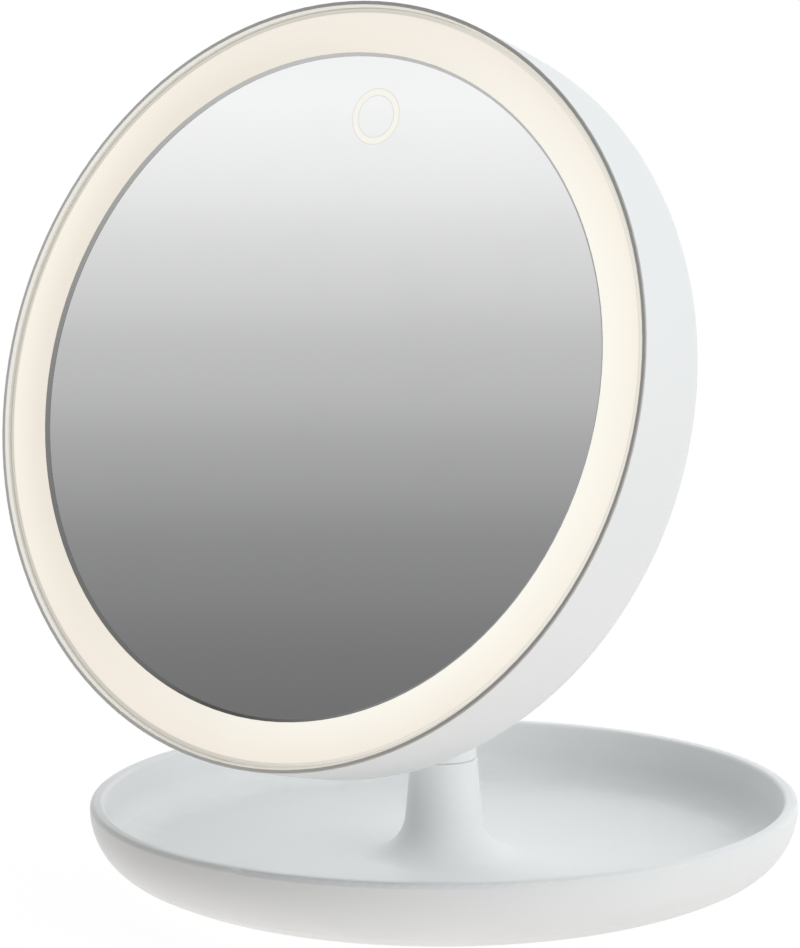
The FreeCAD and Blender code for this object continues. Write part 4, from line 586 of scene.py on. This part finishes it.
# Studio surround: white to the camera and to reflections. As light it is a round room with soft
# bright walls on the right and on the left behind, a quieter ceiling and a dim side at the front
# left.
def grey_ramp(tree, share, stops, interpolation="LINEAR"):
    node = add_node(tree, "ShaderNodeValToRGB")
    tree.links.new(share, node.inputs["Fac"])
    ramp = node.color_ramp
    ramp.interpolation = interpolation
    for element, (where, level) in zip(ramp.elements, (stops[0], stops[-1])):
        element.position = where
        element.color = (level, level, level, 1.0)
    for where, level in stops[1:-1]:
        ramp.elements.new(where).color = (level, level, level, 1.0)
    return node.outputs["Color"]


room_tone = (0.955, 0.985, 1.0)
room_axis = math.radians(70.0)
wall_levels = ((0.0, 0.01), (0.25, 0.165), (0.5, 0.80), (0.75, 0.89), (1.0, 0.21))
wall_strength = 3.0
ceiling_bend, ceiling_slope = 0.7, -2.0
world = bpy.data.worlds.new("studio")
bpy.context.scene.world = world
world.use_nodes = True
tree = world.node_tree
tree.nodes.clear()
output = add_node(tree, "ShaderNodeOutputWorld")
room = add_node(tree, "ShaderNodeBackground")
feed(tree, room.inputs["Color"], room_tone)
way = add_node(tree, "ShaderNodeTexCoord").outputs["Generated"]
toward = add_node(tree, "ShaderNodeVectorMath", operation="DOT_PRODUCT")
tree.links.new(way, toward.inputs[0])
toward.inputs[1].default_value = (math.cos(room_axis), math.sin(room_axis), 0.0)
walls = grey_ramp(tree, calculate(tree, "MULTIPLY_ADD", toward.outputs["Value"], 0.5, 0.5),
                  wall_levels)
axes = add_node(tree, "ShaderNodeSeparateXYZ")
tree.links.new(way, axes.inputs["Vector"])
ceiling = calculate(
    tree, "MULTIPLY", axes.outputs["Z"],
    calculate(tree, "MULTIPLY_ADD", axes.outputs["Z"], ceiling_bend, ceiling_slope))
room_light = calculate(tree, "ADD", calculate(tree, "MULTIPLY", walls, wall_strength), ceiling)
tree.links.new(calculate(tree, "MAXIMUM", room_light, 0.0), room.inputs["Strength"])
backdrop = add_node(tree, "ShaderNodeBackground")
feed(tree, backdrop.inputs["Color"], white)
backdrop.inputs["Strength"].default_value = 1.0
surround = choose_shader(tree, seen_directly(tree), room.outputs["Background"],
                         backdrop.outputs["Background"])
tree.links.new(surround, output.inputs["Surface"])


# Reflection card: a sheet with a soft tone from white to grey, hung where the mirror looks.
# Only reflections see it, so that the glass shows a quiet gradient and not the bare room.
def mirrored(direction):
    return direction - 2.0 * direction.dot(mirror_facing) * mirror_facing


def only_in_reflections(sheet):
    sheet.visible_camera = False
    sheet.visible_diffuse = False
    sheet.visible_transmission = False
    sheet.visible_shadow = False


card_distance, card_size, tone_reach = 0.9, 0.8, 0.13
glass_depth = 0.00207
card_levels = ((0.0, 0.166), (0.19, 0.227), (0.34, 0.320), (0.485, 0.468), (0.63, 0.613),
               (0.78, 0.80), (0.93, 0.955))
card_normal = mirrored(looking)
card_up = mirrored(turn.to_3x3() @ Vector((0.0, 1.0, 0.0)))
card_side = card_up.cross(-card_normal)
glass_middle = mirror_centre - glass_depth * mirror_facing
card = stage_sheet("reflection_card", card_size)
card.matrix_world = Matrix.Translation(glass_middle + card_normal * card_distance) @ Matrix(
    (card_side, card_up, -card_normal)).transposed().to_4x4()
only_in_reflections(card)
card_tone, tree, surface = bare_material("card_tone")
light = add_node(tree, "ShaderNodeEmission")
axes = add_node(tree, "ShaderNodeSeparateXYZ")
tree.links.new(object_place(tree), axes.inputs["Vector"])
rise = add_node(tree, "ShaderNodeMapRange")
tree.links.new(axes.outputs["Y"], rise.inputs["Value"])
rise.inputs["From Min"].default_value = -tone_reach
rise.inputs["From Max"].default_value = tone_reach
tree.links.new(grey_ramp(tree, rise.outputs["Result"], card_levels, "CARDINAL"),
               light.inputs["Color"])
tree.links.new(light.outputs["Emission"], surface)
card.data.materials.append(card_tone)


# Overhead flag: a grey sheet high up on the left behind, which the lip round the glass reflects.
# Only reflections see it, and its edge fades into the white of the room.
flag_size, flag_middle = 1.1, Vector((-0.62, 0.36, 0.94))
fade_start, fade_end = 0.2, 0.55
flag_grey, room_white = 0.25, 1.0
flag = stage_sheet("overhead_flag", flag_size)
flag.matrix_world = Matrix.Translation(flag_middle) @ (
    mirror_centre - flag_middle).to_track_quat("Z", "Y").to_matrix().to_4x4()
only_in_reflections(flag)
grey_sheet, tree, surface = bare_material("grey_sheet")
light = add_node(tree, "ShaderNodeEmission")
from_middle = add_node(tree, "ShaderNodeVectorMath", operation="LENGTH")
tree.links.new(object_place(tree), from_middle.inputs[0])
tree.links.new(smooth_step(tree, from_middle.outputs["Value"], fade_start, fade_end,
                           flag_grey, room_white), light.inputs["Strength"])
tree.links.new(light.outputs["Emission"], surface)
flag.data.materials.append(grey_sheet)

bpy.context.scene.view_settings.view_transform = "Standard"
